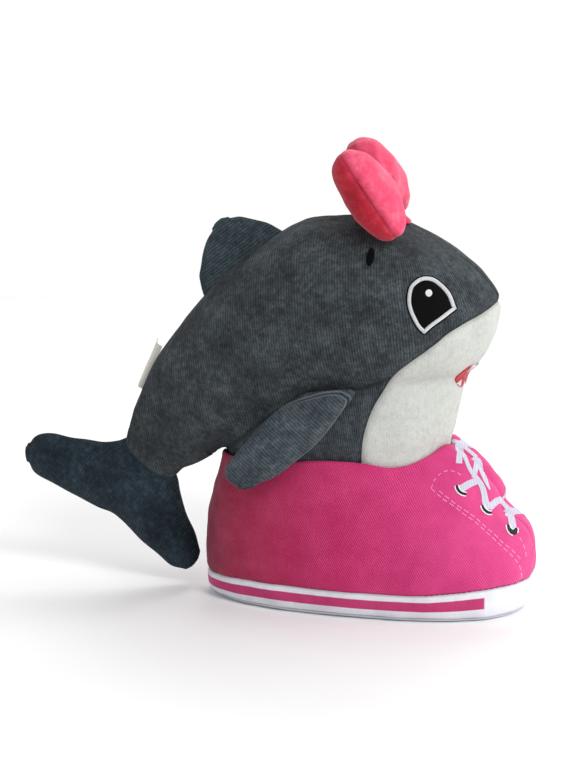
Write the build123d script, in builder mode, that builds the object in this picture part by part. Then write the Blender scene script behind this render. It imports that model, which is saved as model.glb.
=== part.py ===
"""A stuffed toy shark that stands in a stuffed sneaker.

Row frame: +X is the way the shark and the sneaker point, +Y is its left, +Z is up.
The origin is the middle of the flat outsole.  Millimetres.

The shark is a shell of plush panels round a polyester filling, the sneaker a shell of
printed cloth round its own filling with a pellet bag low down, and the fins, the tail,
the bow and the care label are sewn on along one edge each, so each flexes at its seam.
"""

import math
import os

from build123d import *

os.makedirs("parts", exist_ok=True)

# ------------------------------------------------------------------ driving sizes
PLUSH = 2.0  # plush fabric with its pile
CLOTH = 1.2  # printed sneaker cloth with its backing
SOLE_T = 1.6  # outsole cloth
FOX_TOP = 12.5  # top of the white foxing band
FOX_LOW = 1.6  # foot of the foxing band, on the outsole cloth
ANKLE_Z = 78.4  # height of the ankle seam at x = 0
ANKLE_SLOPE = 0.068  # the ankle seam rises towards the toe
HEEL_X = -79.5  # the shark overhangs behind this

FIN_GAP = 0.5  # air between a hinged piece and what it is sewn to
TAIL_ROOT_R = 5.0
DORSAL_ROOT_R = 3.6

# Shark sections, nose to tail: top point (x, z), underside point (x, z), half width, egg.
BODY = [
    ((59.8, 156.4), (61.2, 147.6), 6.0, 0.00),
    ((56.2, 161.4), (59.6, 136.3), 16.6, 0.00),
    ((50.2, 168.2), (55.2, 125.3), 25.8, 0.00),
    ((42.6, 174.4), (48.6, 118.2), 32.8, 0.03),
    ((33.0, 180.8), (39.8, 111.8), 38.6, 0.05),
    ((20.0, 187.4), (26.4, 106.4), 43.5, 0.06),
    ((4.4, 191.3), (8.8, 102.8), 46.0, 0.07),
    ((-15.2, 192.0), (-10.0, 100.0), 46.5, 0.07),
    ((-35.3, 188.9), (-28.0, 96.0), 45.5, 0.06),
    ((-53.0, 179.3), (-42.5, 90.0), 42.8, 0.05),
    ((-71.0, 165.8), (-57.5, 81.5), 38.2, 0.03),
    ((-87.5, 149.0), (-72.0, 73.5), 32.4, 0.00),
    ((-102.0, 130.8), (-84.5, 67.4), 26.2, 0.00),
    ((-113.6, 113.2), (-92.5, 63.2), 19.6, 0.00),
    ((-121.2, 96.4), (-97.2, 61.2), 13.4, 0.00),
    ((-126.2, 80.6), (-99.6, 60.0), 8.6, 0.00),
]
# Chest column sections: z, rear x, front x, half width.
NECK = [
    (64.0, -74.0, 37.5, 35.0),
    (76.0, -76.0, 39.6, 36.6),
    (88.0, -76.0, 40.8, 37.6),
    (100.0, -68.0, 42.8, 37.4),
    (112.0, -54.0, 45.8, 35.4),
    (120.0, -44.0, 47.6, 33.0),
]
# Sneaker sections: z, rear x, front x, half width, forward bias of the widest place, squareness.
SHOE = [
    (0.0, -80.6, 76.0, 40.2, 0.10, 2.5),
    (2.4, -83.0, 78.6, 43.0, 0.10, 2.45),
    (7.0, -84.4, 80.2, 44.8, 0.10, 2.4),
    (14.0, -85.0, 81.3, 45.8, 0.10, 2.35),
    (25.0, -85.4, 81.6, 46.0, 0.10, 2.35),
    (36.0, -84.5, 79.2, 44.6, 0.08, 2.4),
    (46.0, -83.0, 71.6, 43.1, 0.07, 2.45),
    (56.0, -81.0, 62.6, 41.4, 0.05, 2.5),
    (66.0, -79.0, 56.8, 39.8, 0.03, 2.45),
    (77.0, -77.2, 46.2, 37.9, 0.015, 2.35),
    (88.0, -76.2, 35.0, 36.6, 0.00, 2.3),
]


def superellipse(n_points, n_power, phase=0.0):
    """Unit closed curve, starting at the top (or phase steps on) towards +first axis."""
    pts = []
    for i in range(n_points):
        t = 2 * math.pi * (i + phase) / n_points
        s, c = math.sin(t), math.cos(t)
        pts.append(
            (
                math.copysign(abs(s) ** (2 / n_power), s),
                math.copysign(abs(c) ** (2 / n_power), c),
            )
        )
    return pts


RING = superellipse(14, 2.2)


def shark_plane(top, low):
    """Plane of a section: first axis is +Y, second runs from the underside to the top."""
    vx, vz = top[0] - low[0], top[1] - low[1]
    long = math.hypot(vx, vz)
    vx, vz = vx / long, vz / long
    mid = ((top[0] + low[0]) / 2, 0, (top[1] + low[1]) / 2)
    return Plane(origin=mid, x_dir=(0, 1, 0), z_dir=(vz, 0, -vx)), long / 2, (vz, -vx)


def shark_solid(inset):
    """The shark's outer shape, drawn in by inset all round (a negative inset grows it)."""
    with BuildPart() as made:
        for i, (top, low, half_w, egg) in enumerate(BODY):
            plane, half_h, way = shark_plane(top, low)
            step = 0.0
            if i == 0:
                step = -inset
            if i == len(BODY) - 1:
                step = inset
            plane = plane.offset(step)
            w, h = half_w - inset, half_h - inset
            pts = [(w * a * (1 - egg * b), h * b) for a, b in RING]
            with BuildSketch(plane):
                with BuildLine():
                    Spline(*pts, periodic=True)
                make_face()
        loft()
    return made.part


def neck_solid(inset):
    """The chest column between the shark and the sneaker's ankle seam."""
    with BuildPart() as made:
        for z, rear, front, half_w in NECK:
            cx, a = (rear + front) / 2, (front - rear) / 2 - inset
            w = half_w - inset
            pts = [(cx + a * q, w * p) for p, q in superellipse(14, 2.3)]
            with BuildSketch(Plane.XY.offset(z)):
                with BuildLine():
                    Spline(*pts, periodic=True)
                make_face()
        loft()
    return made.part


def shoe_solid(inset, z_low):
    """The sneaker's outer shape above z_low, drawn in by inset."""
    rows = []
    for k, (z, rear, front, half_w, bias, power) in enumerate(SHOE):
        if z > z_low + 1.0:
            rows.append((z, rear, front, half_w, bias, power))
    below = [r for r in SHOE if r[0] <= z_low + 1.0][-1]
    if below[0] >= z_low:
        rows.insert(0, (z_low,) + below[1:])
    else:
        above = rows[0]
        t = (z_low - below[0]) / (above[0] - below[0])
        rows.insert(
            0,
            (z_low,) + tuple(below[j] + t * (above[j] - below[j]) for j in range(1, 6)),
        )
    with BuildPart() as made:
        for z, rear, front, half_w, bias, power in rows:
            cx, a = (rear + front) / 2, (front - rear) / 2 - inset
            w = half_w - inset
            pts = [
                (cx + a * q, w * p * (1 + bias * q))
                for p, q in superellipse(16, power)
            ]
            with BuildSketch(Plane.XY.offset(z)):
                with BuildLine():
                    Spline(*pts, periodic=True)
                make_face()
        loft()
    return made.part


def prism(points, y0, y1, smooth=False):
    """A closed (x, z) outline run from y0 to y1."""
    with BuildPart() as made:
        with BuildSketch(Plane.XZ.offset(-y1)):
            with BuildLine():
                if smooth:
                    Spline(*points, periodic=True)
                else:
                    Polyline(*points, close=True)
            make_face()
        extrude(amount=y1 - y0)
    return made.part


def ankle(x):
    return ANKLE_Z + ANKLE_SLOPE * x


# The wedge under the ankle plane, over the sneaker, that the shark doesn't enter.
UNDER = prism([(HEEL_X, -20), (120, -20), (120, ankle(120)), (HEEL_X, ankle(HEEL_X))], -80, 80)
# Everything above the ankle plane.
OVER = prism([(-150, ankle(-150)), (150, ankle(150)), (150, 200), (-150, 200)], -80, 80)


def shark_body(inset):
    with BuildPart() as made:
        add(shark_solid(inset))
        add(neck_solid(inset))
        add(UNDER, mode=Mode.SUBTRACT)
    return made.part


def save(builder, name):
    piece = builder.part
    piece.label = name
    export_step(piece, f"parts/{name}.step")
    return piece


# ------------------------------------------------------------------ the shark's skin
outer = shark_body(0)
inner = shark_body(PLUSH)
with BuildPart() as skin:
    add(outer)
    add(inner, mode=Mode.SUBTRACT)

# Seam between the grey back and the cream front, from the nose down to the ankle seam.
CREAM_SEAM = [
    (67.0, 155.4), (62.4, 152.2), (56.5, 148.6), (50.1, 145.4), (43.8, 141.7), (38.0, 136.9),
    (31.7, 131.3), (24.5, 126.0), (18.4, 121.2), (13.6, 115.4), (9.4, 109.0), (6.0, 102.4),
    (3.3, 94.2), (1.5, 86.0), (0.6, 72.0),
]
# Seam between the upper side panel and the lower side panel, back from the cream seam.
SIDE_SEAM = [
    (20.0, 120.6), (12.3, 117.0), (4.0, 113.4), (-6.0, 111.2), (-16.8, 109.8), (-30.8, 105.5),
    (-43.1, 98.4), (-55.9, 88.4), (-68.0, 78.4), (-79.5, 69.0), (-81.0, 50.0),
]


def region(edge_points, closing):
    """Prism whose (x, z) outline is a smooth seam closed by straight corners."""
    with BuildPart() as made:
        with BuildSketch(Plane.XZ.offset(-90)):
            with BuildLine():
                Spline(*edge_points)
                Polyline(edge_points[-1], *closing, edge_points[0])
            make_face()
        extrude(amount=180)
    return made.part


cream_zone = region(CREAM_SEAM, [(0.6, 40.0), (120.0, 40.0), (120.0, 155.4)])
low_zone = region(SIDE_SEAM, [(-81.0, 40.0), (20.0, 40.0)])

with BuildPart() as body_filling:
    add(inner)
save(body_filling, "body_filling")

with BuildPart() as belly_panel:
    add(skin.part)
    add(cream_zone, mode=Mode.INTERSECT)
save(belly_panel, "belly_panel")

HALF = {"right": (-90, 0), "left": (0, 90)}
for side, (ya, yb) in HALF.items():
    with BuildPart() as half_box:
        with Locations((0, (ya + yb) / 2, 100)):
            Box(400, abs(yb - ya), 400)
    with BuildPart() as lower_side_panel:
        add(skin.part)
        add(cream_zone, mode=Mode.SUBTRACT)
        add(low_zone, mode=Mode.INTERSECT)
        add(half_box.part, mode=Mode.INTERSECT)
    save(lower_side_panel, f"lower_side_panel_{side}")
    with BuildPart() as body_side_panel:
        add(skin.part)
        add(cream_zone, mode=Mode.SUBTRACT)
        add(low_zone, mode=Mode.SUBTRACT)
        add(half_box.part, mode=Mode.INTERSECT)
    save(body_side_panel, f"body_side_panel_{side}")

# ------------------------------------------------------------------ the sneaker
shoe_out = shoe_solid(0, 0.0)
shoe_in = shoe_solid(CLOTH, SOLE_T)

with BuildPart() as outsole:
    add(shoe_out)
    with Locations((0, 0, SOLE_T / 2)):
        Box(300, 200, SOLE_T, mode=Mode.INTERSECT)
save(outsole, "outsole")

with BuildPart() as foxing_band:
    add(shoe_out)
    add(shoe_in, mode=Mode.SUBTRACT)
    with Locations((0, 0, (SOLE_T + FOX_TOP) / 2)):
        Box(300, 200, FOX_TOP - SOLE_T, mode=Mode.INTERSECT)
save(foxing_band, "foxing_band")

for side, (ya, yb) in HALF.items():
    with BuildPart() as shoe_upper:
        add(shoe_out)
        add(shoe_in, mode=Mode.SUBTRACT)
        add(OVER, mode=Mode.SUBTRACT)
        with Locations((0, (ya + yb) / 2, FOX_TOP + 60)):
            Box(300, abs(yb - ya), 120, mode=Mode.INTERSECT)
    save(shoe_upper, f"shoe_upper_{side}")

# Pellet bag, a flat pouch lying on the outsole.
with BuildPart() as pellet_bag:
    with BuildSketch(Plane.XY.offset(SOLE_T + 0.4)):
        with Locations((2, 0)):
            Ellipse(52, 27)
    extrude(amount=17)
    fillet(pellet_bag.edges().group_by(Axis.Z)[-1], 7)
    fillet(pellet_bag.edges().group_by(Axis.Z)[0], 6)
save(pellet_bag, "pellet_bag")

with BuildPart() as shoe_filling:
    add(shoe_in)
    add(OVER, mode=Mode.SUBTRACT)
    add(pellet_bag.part, mode=Mode.SUBTRACT)
save(shoe_filling, "shoe_filling")

# ------------------------------------------------------------------ flat stuffed fins
FIN_SKIN = 1.5  # plush on the flat fins


def fin_solid(frame, rows, inset, root, root_r):
    """A stuffed flat fin.  rows are ((a, b), (a, b), half thickness) in the frame's plane;
    root is the hinge line's two ends in that plane, wrapped by a round tube."""
    keep = []
    for lead, trail, half_t in rows:
        long = math.dist(lead, trail) / 2
        if long - inset > 0.9 and half_t - inset > 0.5:
            keep.append((lead, trail, half_t - inset, long - inset))
    with BuildPart() as made:
        for i, (lead, trail, t, h) in enumerate(keep):
            va = ((trail[0] - lead[0]), (trail[1] - lead[1]))
            size = math.hypot(*va)
            va = (va[0] / size, va[1] / size)
            mid = frame.from_local_coords(((lead[0] + trail[0]) / 2, (lead[1] + trail[1]) / 2, 0))
            v = frame.x_dir * va[0] + frame.y_dir * va[1]
            plane = Plane(origin=mid, x_dir=frame.z_dir, z_dir=frame.z_dir.cross(v))
            if i == 0 and inset:
                nxt = keep[1]
                ahead = frame.from_local_coords(((nxt[0][0] + nxt[1][0]) / 2, (nxt[0][1] + nxt[1][1]) / 2, 0))
                plane = plane.offset(math.copysign(0.6, plane.z_dir.dot(ahead - mid)))
            if i == len(keep) - 1 and inset:
                plane = plane.offset(-math.copysign(0.6, plane.z_dir.dot(mid - last_mid)))
            last_mid = mid
            pts = [(t * a, h * b) for a, b in superellipse(14, 2.1, 0.5)]
            with BuildSketch(plane):
                with BuildLine():
                    Spline(*pts, periodic=True)
                make_face()
        loft()
        if root:
            ends = [frame.from_local_coords((p[0], p[1], 0)) for p in root]
            way = (ends[1] - ends[0]).normalized()
            with BuildSketch(Plane(origin=ends[0] + way * inset, x_dir=frame.z_dir, z_dir=way)):
                Circle(root_r - inset)
            extrude(amount=(ends[1] - ends[0]).length - 2 * inset)
    return made.part


def half_of(frame, sign, name, whole, core):
    """One skin of a fin: the shell on one side of the fin's middle plane."""
    with BuildPart() as fin_skin:
        add(whole)
        add(core, mode=Mode.SUBTRACT)
        with BuildSketch(frame):
            Rectangle(600, 600)
        extrude(amount=60 * sign, mode=Mode.INTERSECT)
    return save(fin_skin, name)


def stuffed_fin(frame, rows, root, root_r, name, plus, minus):
    whole = fin_solid(frame, rows, 0.0, root, root_r)
    core = fin_solid(frame, rows, FIN_SKIN, root, root_r)
    half_of(frame, 1, f"{name}_skin_{plus}", whole, core)
    half_of(frame, -1, f"{name}_skin_{minus}", whole, core)
    with BuildPart() as fin_filling:
        add(core)
    save(fin_filling, f"{name}_filling")
    return whole


# Dorsal fin: frame runs along its base, first axis forward and up the back, second axis out.
DORSAL = Plane(origin=(-88.5, 0, 152.4), x_dir=(0.795, 0, 0.607), z_dir=(0, -1, 0))
DORSAL_ROWS = [
    ((3.2, 4.6), (49.4, 4.6), 3.6),
    ((6.4, 9.0), (46.8, 9.0), 5.6),
    ((11.4, 14.0), (43.2, 14.0), 5.4),
    ((17.0, 17.6), (39.2, 17.6), 4.4),
    ((22.6, 19.8), (35.6, 19.8), 2.8),
]
stuffed_fin(DORSAL, DORSAL_ROWS, ((5.0, 4.6), (48.0, 4.6)), DORSAL_ROOT_R, "dorsal_fin", "right", "left")

# Tail fin: a crescent standing in the middle plane.
TAIL_ROWS = [
    ((-180.6, 70.0), (-181.0, 58.0), 2.8),
    ((-176.6, 73.8), (-177.0, 53.0), 4.6),
    ((-167.5, 74.5), (-165.0, 46.8), 5.8),
    ((-155.0, 73.0), (-153.0, 41.2), 6.4),
    ((-143.5, 72.0), (-144.0, 37.4), 6.8),
    ((-134.0, 73.0), (-137.0, 34.8), 7.0),
    ((-121.0, 68.4), (-130.6, 29.6), 7.2),
    ((-108.5, 59.4), (-123.0, 22.6), 7.0),
    ((-102.0, 49.0), (-116.0, 16.6), 6.4),
    ((-98.2, 38.4), (-110.6, 12.0), 5.8),
    ((-93.8, 29.0), (-105.4, 8.6), 5.0),
    ((-90.6, 19.4), (-99.4, 7.8), 3.6),
]
stuffed_fin(Plane.XZ, TAIL_ROWS, ((-127.8, 74.6), (-104.6, 57.0)), TAIL_ROOT_R, "tail_fin", "right", "left")

# Pectoral fins: sewn along the side, hanging down and back over the sneaker.
PECT_OUT = 12.0  # how far the hanging fin flares from upright, degrees
PECT_A = (-1.0, 112.6)
PECT_AXIS = (-0.9873, -0.1588)  # along the root seam, front to back, in x and z
PECT_Y = 42.4
flare = math.radians(PECT_OUT)


PECT_ROWS = [
    ((3.0, -1.4), (25.0, -1.4), 1.9),
    ((1.8, 1.2), (29.0, 1.2), 2.9),
    ((3.6, 4.6), (38.4, 4.6), 3.8),
    ((6.2, 8.2), (45.0, 8.2), 4.4),
    ((10.9, 13.2), (51.2, 13.2), 4.8),
    ((15.9, 18.2), (56.6, 18.2), 5.0),
    ((21.4, 23.2), (62.0, 23.2), 4.9),
    ((28.0, 28.0), (66.6, 28.0), 4.5),
    ((36.4, 32.6), (68.2, 32.6), 3.9),
    ((45.8, 36.6), (66.6, 36.6), 3.0),
    ((53.0, 38.4), (63.4, 38.4), 2.1),
]
for side, sign in (("right", -1), ("left", 1)):
    e1 = Vector(PECT_AXIS[0], 0, PECT_AXIS[1])
    hang = Vector(
        -PECT_AXIS[1] * math.cos(flare), sign * math.sin(flare), PECT_AXIS[0] * math.cos(flare)
    )
    frame = Plane(origin=(PECT_A[0], sign * PECT_Y, PECT_A[1]), x_dir=e1, z_dir=e1.cross(hang))
    plus, minus = ("outer", "inner") if frame.z_dir.Y * sign > 0 else ("inner", "outer")
    stuffed_fin(frame, PECT_ROWS, None, 0, f"pectoral_{side}", plus, minus)

# ------------------------------------------------------------------ the bow
BOW_U = Vector(-0.5707, 0, 0.8211)  # up the bow's leaning face
BOW_F = Vector(0.8211, 0, 0.5707)  # out of its front
BOW_YAW = 0.08  # the right loop sits a little further forward than the left
LEFT_LIFT = (9.0, 4.4)  # the left loop's lower and upper edges stand this much higher
BOW_SKIN = 1.4
BOW_FOOT = (10.5, 195.3)
BOW_FOOT_R = 3.2
# distance from the middle, low and high edge along BOW_U, half thickness
BOW_ROWS = [
    (4.5, 159.0, 173.5, 6.4),
    (8.5, 156.4, 177.0, 8.2),
    (14.0, 152.8, 182.6, 10.4),
    (21.0, 148.4, 188.0, 12.0),
    (29.0, 142.8, 191.0, 12.6),
    (35.0, 142.6, 190.2, 11.4),
    (38.6, 146.0, 186.6, 8.0),
    (40.2, 152.4, 180.4, 4.0),
]


def bow_solid(rows, inset):
    """Loft across the bow.  rows are y, low and high edge, half thickness, centre along BOW_F."""
    with BuildPart() as made:
        for i, (y, low, high, half_t, cf) in enumerate(rows):
            if i == 0:
                y += inset * (1 if rows[-1][0] > y else -1)
            if i == len(rows) - 1:
                y -= inset * (1 if rows[0][0] < y else -1)
            mid = BOW_U * ((low + high) / 2) + BOW_F * cf
            plane = Plane(origin=(mid.X, y, mid.Z), x_dir=BOW_F, z_dir=BOW_F.cross(BOW_U))
            h, t = (high - low) / 2 - inset, half_t - inset
            pts = [(t * a, h * b) for a, b in superellipse(12, 2.15)]
            with BuildSketch(plane):
                with BuildLine():
                    Spline(*pts, periodic=True)
                make_face()
        loft()
    return made.part


def bow_loop(sign, inset):
    rows = []
    for y, low, high, half_t in BOW_ROWS:
        if half_t - inset > 1.5:
            away = min(1.0, max(0.0, (y - 8.5) / 14.0))
            centre = 115.9 - BOW_YAW * sign * y + 1.2 * away
            if sign > 0:
                low += LEFT_LIFT[0] * away
                high += LEFT_LIFT[1] * away
            rows.append((sign * y, low, high, half_t, centre))
    return bow_solid(rows, inset)


KNOT_ROWS = [
    (-7.8, 158.5, 173.0, 6.6, 116.4),
    (-5.4, 155.9, 175.6, 8.9, 116.4),
    (0.0, 155.2, 176.3, 9.8, 116.4),
    (5.4, 155.9, 175.6, 8.9, 116.4),
    (7.8, 158.5, 173.0, 6.6, 116.4),
]
with BuildPart() as bow_knot:
    add(bow_solid(KNOT_ROWS, 0.0))
    with BuildSketch(Plane.XZ.offset(-6.0)):
        with Locations(BOW_FOOT):
            Circle(BOW_FOOT_R)
    extrude(amount=12)
save(bow_knot, "bow_knot")

for side, sign in (("right", -1), ("left", 1)):
    whole = bow_loop(sign, 0.0)
    core = bow_loop(sign, BOW_SKIN)
    with BuildPart() as bow_cover:
        add(whole)
        add(core, mode=Mode.SUBTRACT)
        add(bow_knot.part, mode=Mode.SUBTRACT)
    save(bow_cover, f"bow_cover_{side}")
    with BuildPart() as bow_filling:
        add(core)
        add(bow_knot.part, mode=Mode.SUBTRACT)
    save(bow_filling, f"bow_filling_{side}")

# ------------------------------------------------------------------ embroidery
THREAD = 0.8  # satin stitch standing off the plush
raised = shark_solid(-THREAD)
EYE = [
    (31.7, 141.2), (28.7, 144.5), (26.4, 148.5), (24.6, 152.5), (23.6, 156.4), (23.6, 160.8),
    (24.3, 164.0), (26.3, 166.1), (28.4, 167.4), (31.0, 167.9), (34.3, 167.3), (37.2, 165.6),
    (40.1, 163.1), (42.5, 160.3), (44.1, 157.5), (45.4, 154.2), (45.9, 152.8), (42.6, 150.2),
    (39.5, 147.7), (35.8, 144.9),
]
GLINT = (32.9, 160.2)
EYE_RIM = 2.0


def stitched(name, sketch, others=()):
    """Satin patch: the raised surface inside a sketch, less the plush and less others."""
    with BuildPart() as patch:
        add(sketch)
        add(raised, mode=Mode.INTERSECT)
        add(outer, mode=Mode.SUBTRACT)
        for other in others:
            add(other, mode=Mode.SUBTRACT)
    return patch


def side_prism(kind, y0, y1):
    with BuildPart() as made:
        with BuildSketch(Plane.XZ.offset(-y1)):
            if kind in ("eye", "fill"):
                with BuildLine():
                    Polyline(*EYE, close=True)
                make_face()
                if kind == "fill":
                    offset(amount=-EYE_RIM, kind=Kind.INTERSECTION, mode=Mode.REPLACE)
            if kind == "glint":
                with Locations(GLINT):
                    Circle(1.7)
            if kind == "brow":
                with Locations(Location((4.2, 176.4), -9)):
                    Ellipse(2.0, 4.3)
        extrude(amount=y1 - y0)
    return made.part


fill_box = side_prism("fill", -60, -8)
glint_box = side_prism("glint", -60, -8)
eye_rim_right = stitched("eye_rim_right", side_prism("eye", -60, -8), (fill_box,))
eye_fill_right = stitched("eye_fill_right", fill_box, (glint_box,))
eye_glint_right = stitched("eye_glint_right", glint_box)
brow_right = stitched("brow_right", side_prism("brow", -60, -8))
for name, patch in (
    ("eye_rim", eye_rim_right),
    ("eye_fill", eye_fill_right),
    ("eye_glint", eye_glint_right),
    ("brow", brow_right),
):
    save(patch, f"{name}_right")
    with BuildPart() as patch_left:
        add(mirror(patch.part, about=Plane.XZ, mode=Mode.PRIVATE).moved(Location((0, 0.05, 0))))
    save(patch_left, f"{name}_left")

# Mouth: red satin with white teeth, seen from the front; outlines are (y, z).
MOUTH = [(-20, 123.2), (-19, 117.0), (-13, 112.2), (0, 110.2), (13, 112.2), (19, 117.0), (20, 123.2), (10, 121.4), (0, 120.8), (-10, 121.4)]
TEETH = [
    [(-16.5, 122.4), (-10.5, 121.4), (-13.2, 117.0)],
    [(10.5, 121.4), (16.5, 122.4), (13.2, 117.0)],
    [(-7.0, 111.2), (-1.5, 110.4), (-4.4, 114.6)],
    [(1.5, 110.4), (7.0, 111.2), (4.4, 114.6)],
]


def front_prism(outlines):
    with BuildPart() as made:
        for outline in outlines:
            with BuildSketch(Plane.YZ.offset(25)):
                with BuildLine():
                    Polyline(*outline, close=True)
                make_face()
            extrude(amount=60)
    return made.part


mouth_box = front_prism([MOUTH])
teeth_box = front_prism(TEETH)
mouth_red = stitched("mouth_red", mouth_box, (teeth_box,))
save(mouth_red, "mouth_red")
with BuildPart() as mouth_teeth:
    add(teeth_box)
    add(mouth_box, mode=Mode.INTERSECT)
    add(raised, mode=Mode.INTERSECT)
    add(outer, mode=Mode.SUBTRACT)
save(mouth_teeth, "mouth_teeth")

# ------------------------------------------------------------------ care label
LABEL_T = 0.5
LABEL_LONG = 25.0
LABEL_OUT = 12.0
LABEL_LEAN = 52.0  # leans over to the left, degrees from straight out of the seam
LABEL_TOP = (-110.6, 124.9)
LABEL_LOW = (-122.4, 100.6)
dx, dz = LABEL_LOW[0] - LABEL_TOP[0], LABEL_LOW[1] - LABEL_TOP[1]
size = math.hypot(dx, dz)
down = Vector(dx / size, 0, dz / size)
out = Vector(dz / size, 0, -dx / size)
lean = math.radians(LABEL_LEAN)
reach = out * math.cos(lean) + Vector(0, 1, 0) * math.sin(lean)
label_plane = Plane(origin=(LABEL_TOP[0], 0, LABEL_TOP[1]), x_dir=down, z_dir=down.cross(reach))
with BuildPart() as care_label:
    with BuildSketch(label_plane.offset(-LABEL_T / 2)):
        with Locations((size / 2, LABEL_OUT / 2)):
            Rectangle(LABEL_LONG, LABEL_OUT)
    extrude(amount=LABEL_T)
    fillet(care_label.edges().filter_by(Axis(origin=(0, 0, 0), direction=label_plane.z_dir)), 1.0)
save(care_label, "care_label")
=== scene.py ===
import bpy, bmesh, math
import numpy as np
from mathutils import Matrix, Vector
from mathutils.bvhtree import BVHTree
from mathutils.kdtree import KDTree


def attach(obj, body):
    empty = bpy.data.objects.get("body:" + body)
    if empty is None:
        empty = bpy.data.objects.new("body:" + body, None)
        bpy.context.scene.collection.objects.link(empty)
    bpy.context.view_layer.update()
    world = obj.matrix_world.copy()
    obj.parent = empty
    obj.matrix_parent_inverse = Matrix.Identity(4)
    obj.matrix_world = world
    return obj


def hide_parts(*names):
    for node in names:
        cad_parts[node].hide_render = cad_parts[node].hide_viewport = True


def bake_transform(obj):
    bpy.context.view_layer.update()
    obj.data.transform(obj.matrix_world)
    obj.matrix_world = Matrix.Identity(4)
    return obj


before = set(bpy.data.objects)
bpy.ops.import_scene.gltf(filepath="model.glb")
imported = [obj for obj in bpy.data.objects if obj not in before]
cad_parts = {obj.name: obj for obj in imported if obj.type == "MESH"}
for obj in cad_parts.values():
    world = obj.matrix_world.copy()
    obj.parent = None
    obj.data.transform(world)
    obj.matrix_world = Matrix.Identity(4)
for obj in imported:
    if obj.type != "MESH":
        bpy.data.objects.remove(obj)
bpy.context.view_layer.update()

MM = 0.001
scene = bpy.context.scene
rng = np.random.RandomState(7)

# ----------------------------------------------------------------- the view
AZ, EL, DIST = math.radians(13), math.radians(11), 1.100
TARGET = Vector((-0.041, 0.0, 0.106))
BACK = Vector((math.sin(AZ) * math.cos(EL), -math.cos(AZ) * math.cos(EL), math.sin(EL)))
RIGHT = Vector((math.cos(AZ), math.sin(AZ), 0))
UP = Vector((-math.sin(AZ) * math.sin(EL), math.cos(AZ) * math.sin(EL), math.cos(EL)))
EYE_POINT = TARGET + BACK * DIST
cam_data = bpy.data.cameras.new("camera")
cam = bpy.data.objects.new("camera", cam_data)
scene.collection.objects.link(cam)
cam.matrix_world = Matrix.Translation(EYE_POINT) @ Matrix((RIGHT, UP, BACK)).transposed().to_4x4()
cam_data.lens, cam_data.sensor_width, cam_data.clip_start, cam_data.clip_end = 102.86, 36.0, 0.05, 20
cam_data.dof.use_dof = False
scene.camera = cam


def ray(a, b):
    """Ray through the drawing plane: a mm right and b mm up of the middle of the view."""
    d = (-BACK * DIST + RIGHT * (a * MM) + UP * (b * MM)).normalized()
    return EYE_POINT, d


# ----------------------------------------------------------------- numbers and curves
def smooth_rows(table, m):
    """Catmull-Rom through the rows of a table, m rows out."""
    t = np.array(table, float)
    n = len(t)
    u = np.linspace(0, n - 1, m)
    i = np.clip(np.floor(u).astype(int), 0, n - 2)
    f = (u - i)[:, None]
    p1, p2 = t[i], t[i + 1]
    p0 = np.where((i > 0)[:, None], t[np.maximum(i - 1, 0)], 2 * p1 - p2)
    p3 = np.where((i < n - 2)[:, None], t[np.minimum(i + 2, n - 1)], 2 * p2 - p1)
    return 0.5 * (2 * p1 + (p2 - p0) * f + (2 * p0 - 5 * p1 + 4 * p2 - p3) * f**2 + (3 * p1 - p0 - 3 * p2 + p3) * f**3)


def sup(n, power, phase=0.0):
    t = 2 * np.pi * (np.arange(n) + phase) / n
    s, c = np.sin(t), np.cos(t)
    return np.sign(s) * abs(s) ** (2 / power), np.sign(c) * abs(c) ** (2 / power)


def smooth(x, a, b):
    t = np.clip((np.asarray(x, float) - a) / (b - a), 0, 1)
    return t * t * (3 - 2 * t)


def wobble(P, scale, seed=0):
    """Cheap smooth value noise from a few waves, in about -1 to 1.  scale is a length in mm."""
    r = np.random.RandomState(seed)
    out = np.zeros(len(P))
    for k in range(9):
        d = r.normal(size=3)
        d /= np.linalg.norm(d)
        out += np.sin((P @ d) * 2 * np.pi / (scale * r.uniform(0.7, 1.6)) + r.uniform(0, 6.28))
    return out / 4.5


def poly_distance(x, z, line):
    """Signed distance in (x, z) from a polyline: positive on its left, going along it."""
    best = np.full(len(x), 1e9)
    sign = np.ones(len(x))
    for (x0, z0), (x1, z1) in zip(line[:-1], line[1:]):
        dx, dz = x1 - x0, z1 - z0
        t = np.clip(((x - x0) * dx + (z - z0) * dz) / (dx * dx + dz * dz), 0, 1)
        px, pz = x - x0 - t * dx, z - z0 - t * dz
        d = np.hypot(px, pz)
        side = np.sign(dx * (z - z0) - dz * (x - x0))
        m = d < best - 1e-9
        best = np.where(m, d, best)
        sign = np.where(m, np.where(side == 0, 1, side), sign)
    return best * sign


def densify(line, m):
    return [tuple(p) for p in smooth_rows(line, m)]


# ----------------------------------------------------------------- meshes
def tube(P):
    """Vertices and faces of a closed tube of rings P (rings, around, 3), with fans at its ends."""
    m, n, _ = P.shape
    V = P.reshape(-1, 3)
    F = []
    for i in range(m - 1):
        for j in range(n):
            k = (j + 1) % n
            F.append((i * n + j, i * n + k, (i + 1) * n + k, (i + 1) * n + j))
    a, b = len(V), len(V) + 1
    V = np.vstack([V, P[0].mean(0), P[-1].mean(0)])
    for j in range(n):
        k = (j + 1) % n
        F.append((a, k, j))
        F.append((b, (m - 1) * n + j, (m - 1) * n + k))
    return V, F


def mesh_object(name, V, F, mm=True):
    me = bpy.data.meshes.new(name)
    me.from_pydata((np.asarray(V) * (MM if mm else 1)).tolist(), [], [tuple(int(i) for i in f) for f in F])
    bm = bmesh.new()
    bm.from_mesh(me)
    bmesh.ops.recalc_face_normals(bm, faces=bm.faces)
    bm.to_mesh(me)
    bm.free()
    me.polygons.foreach_set("use_smooth", [True] * len(me.polygons))
    o = bpy.data.objects.new(name, me)
    scene.collection.objects.link(o)
    return o


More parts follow.
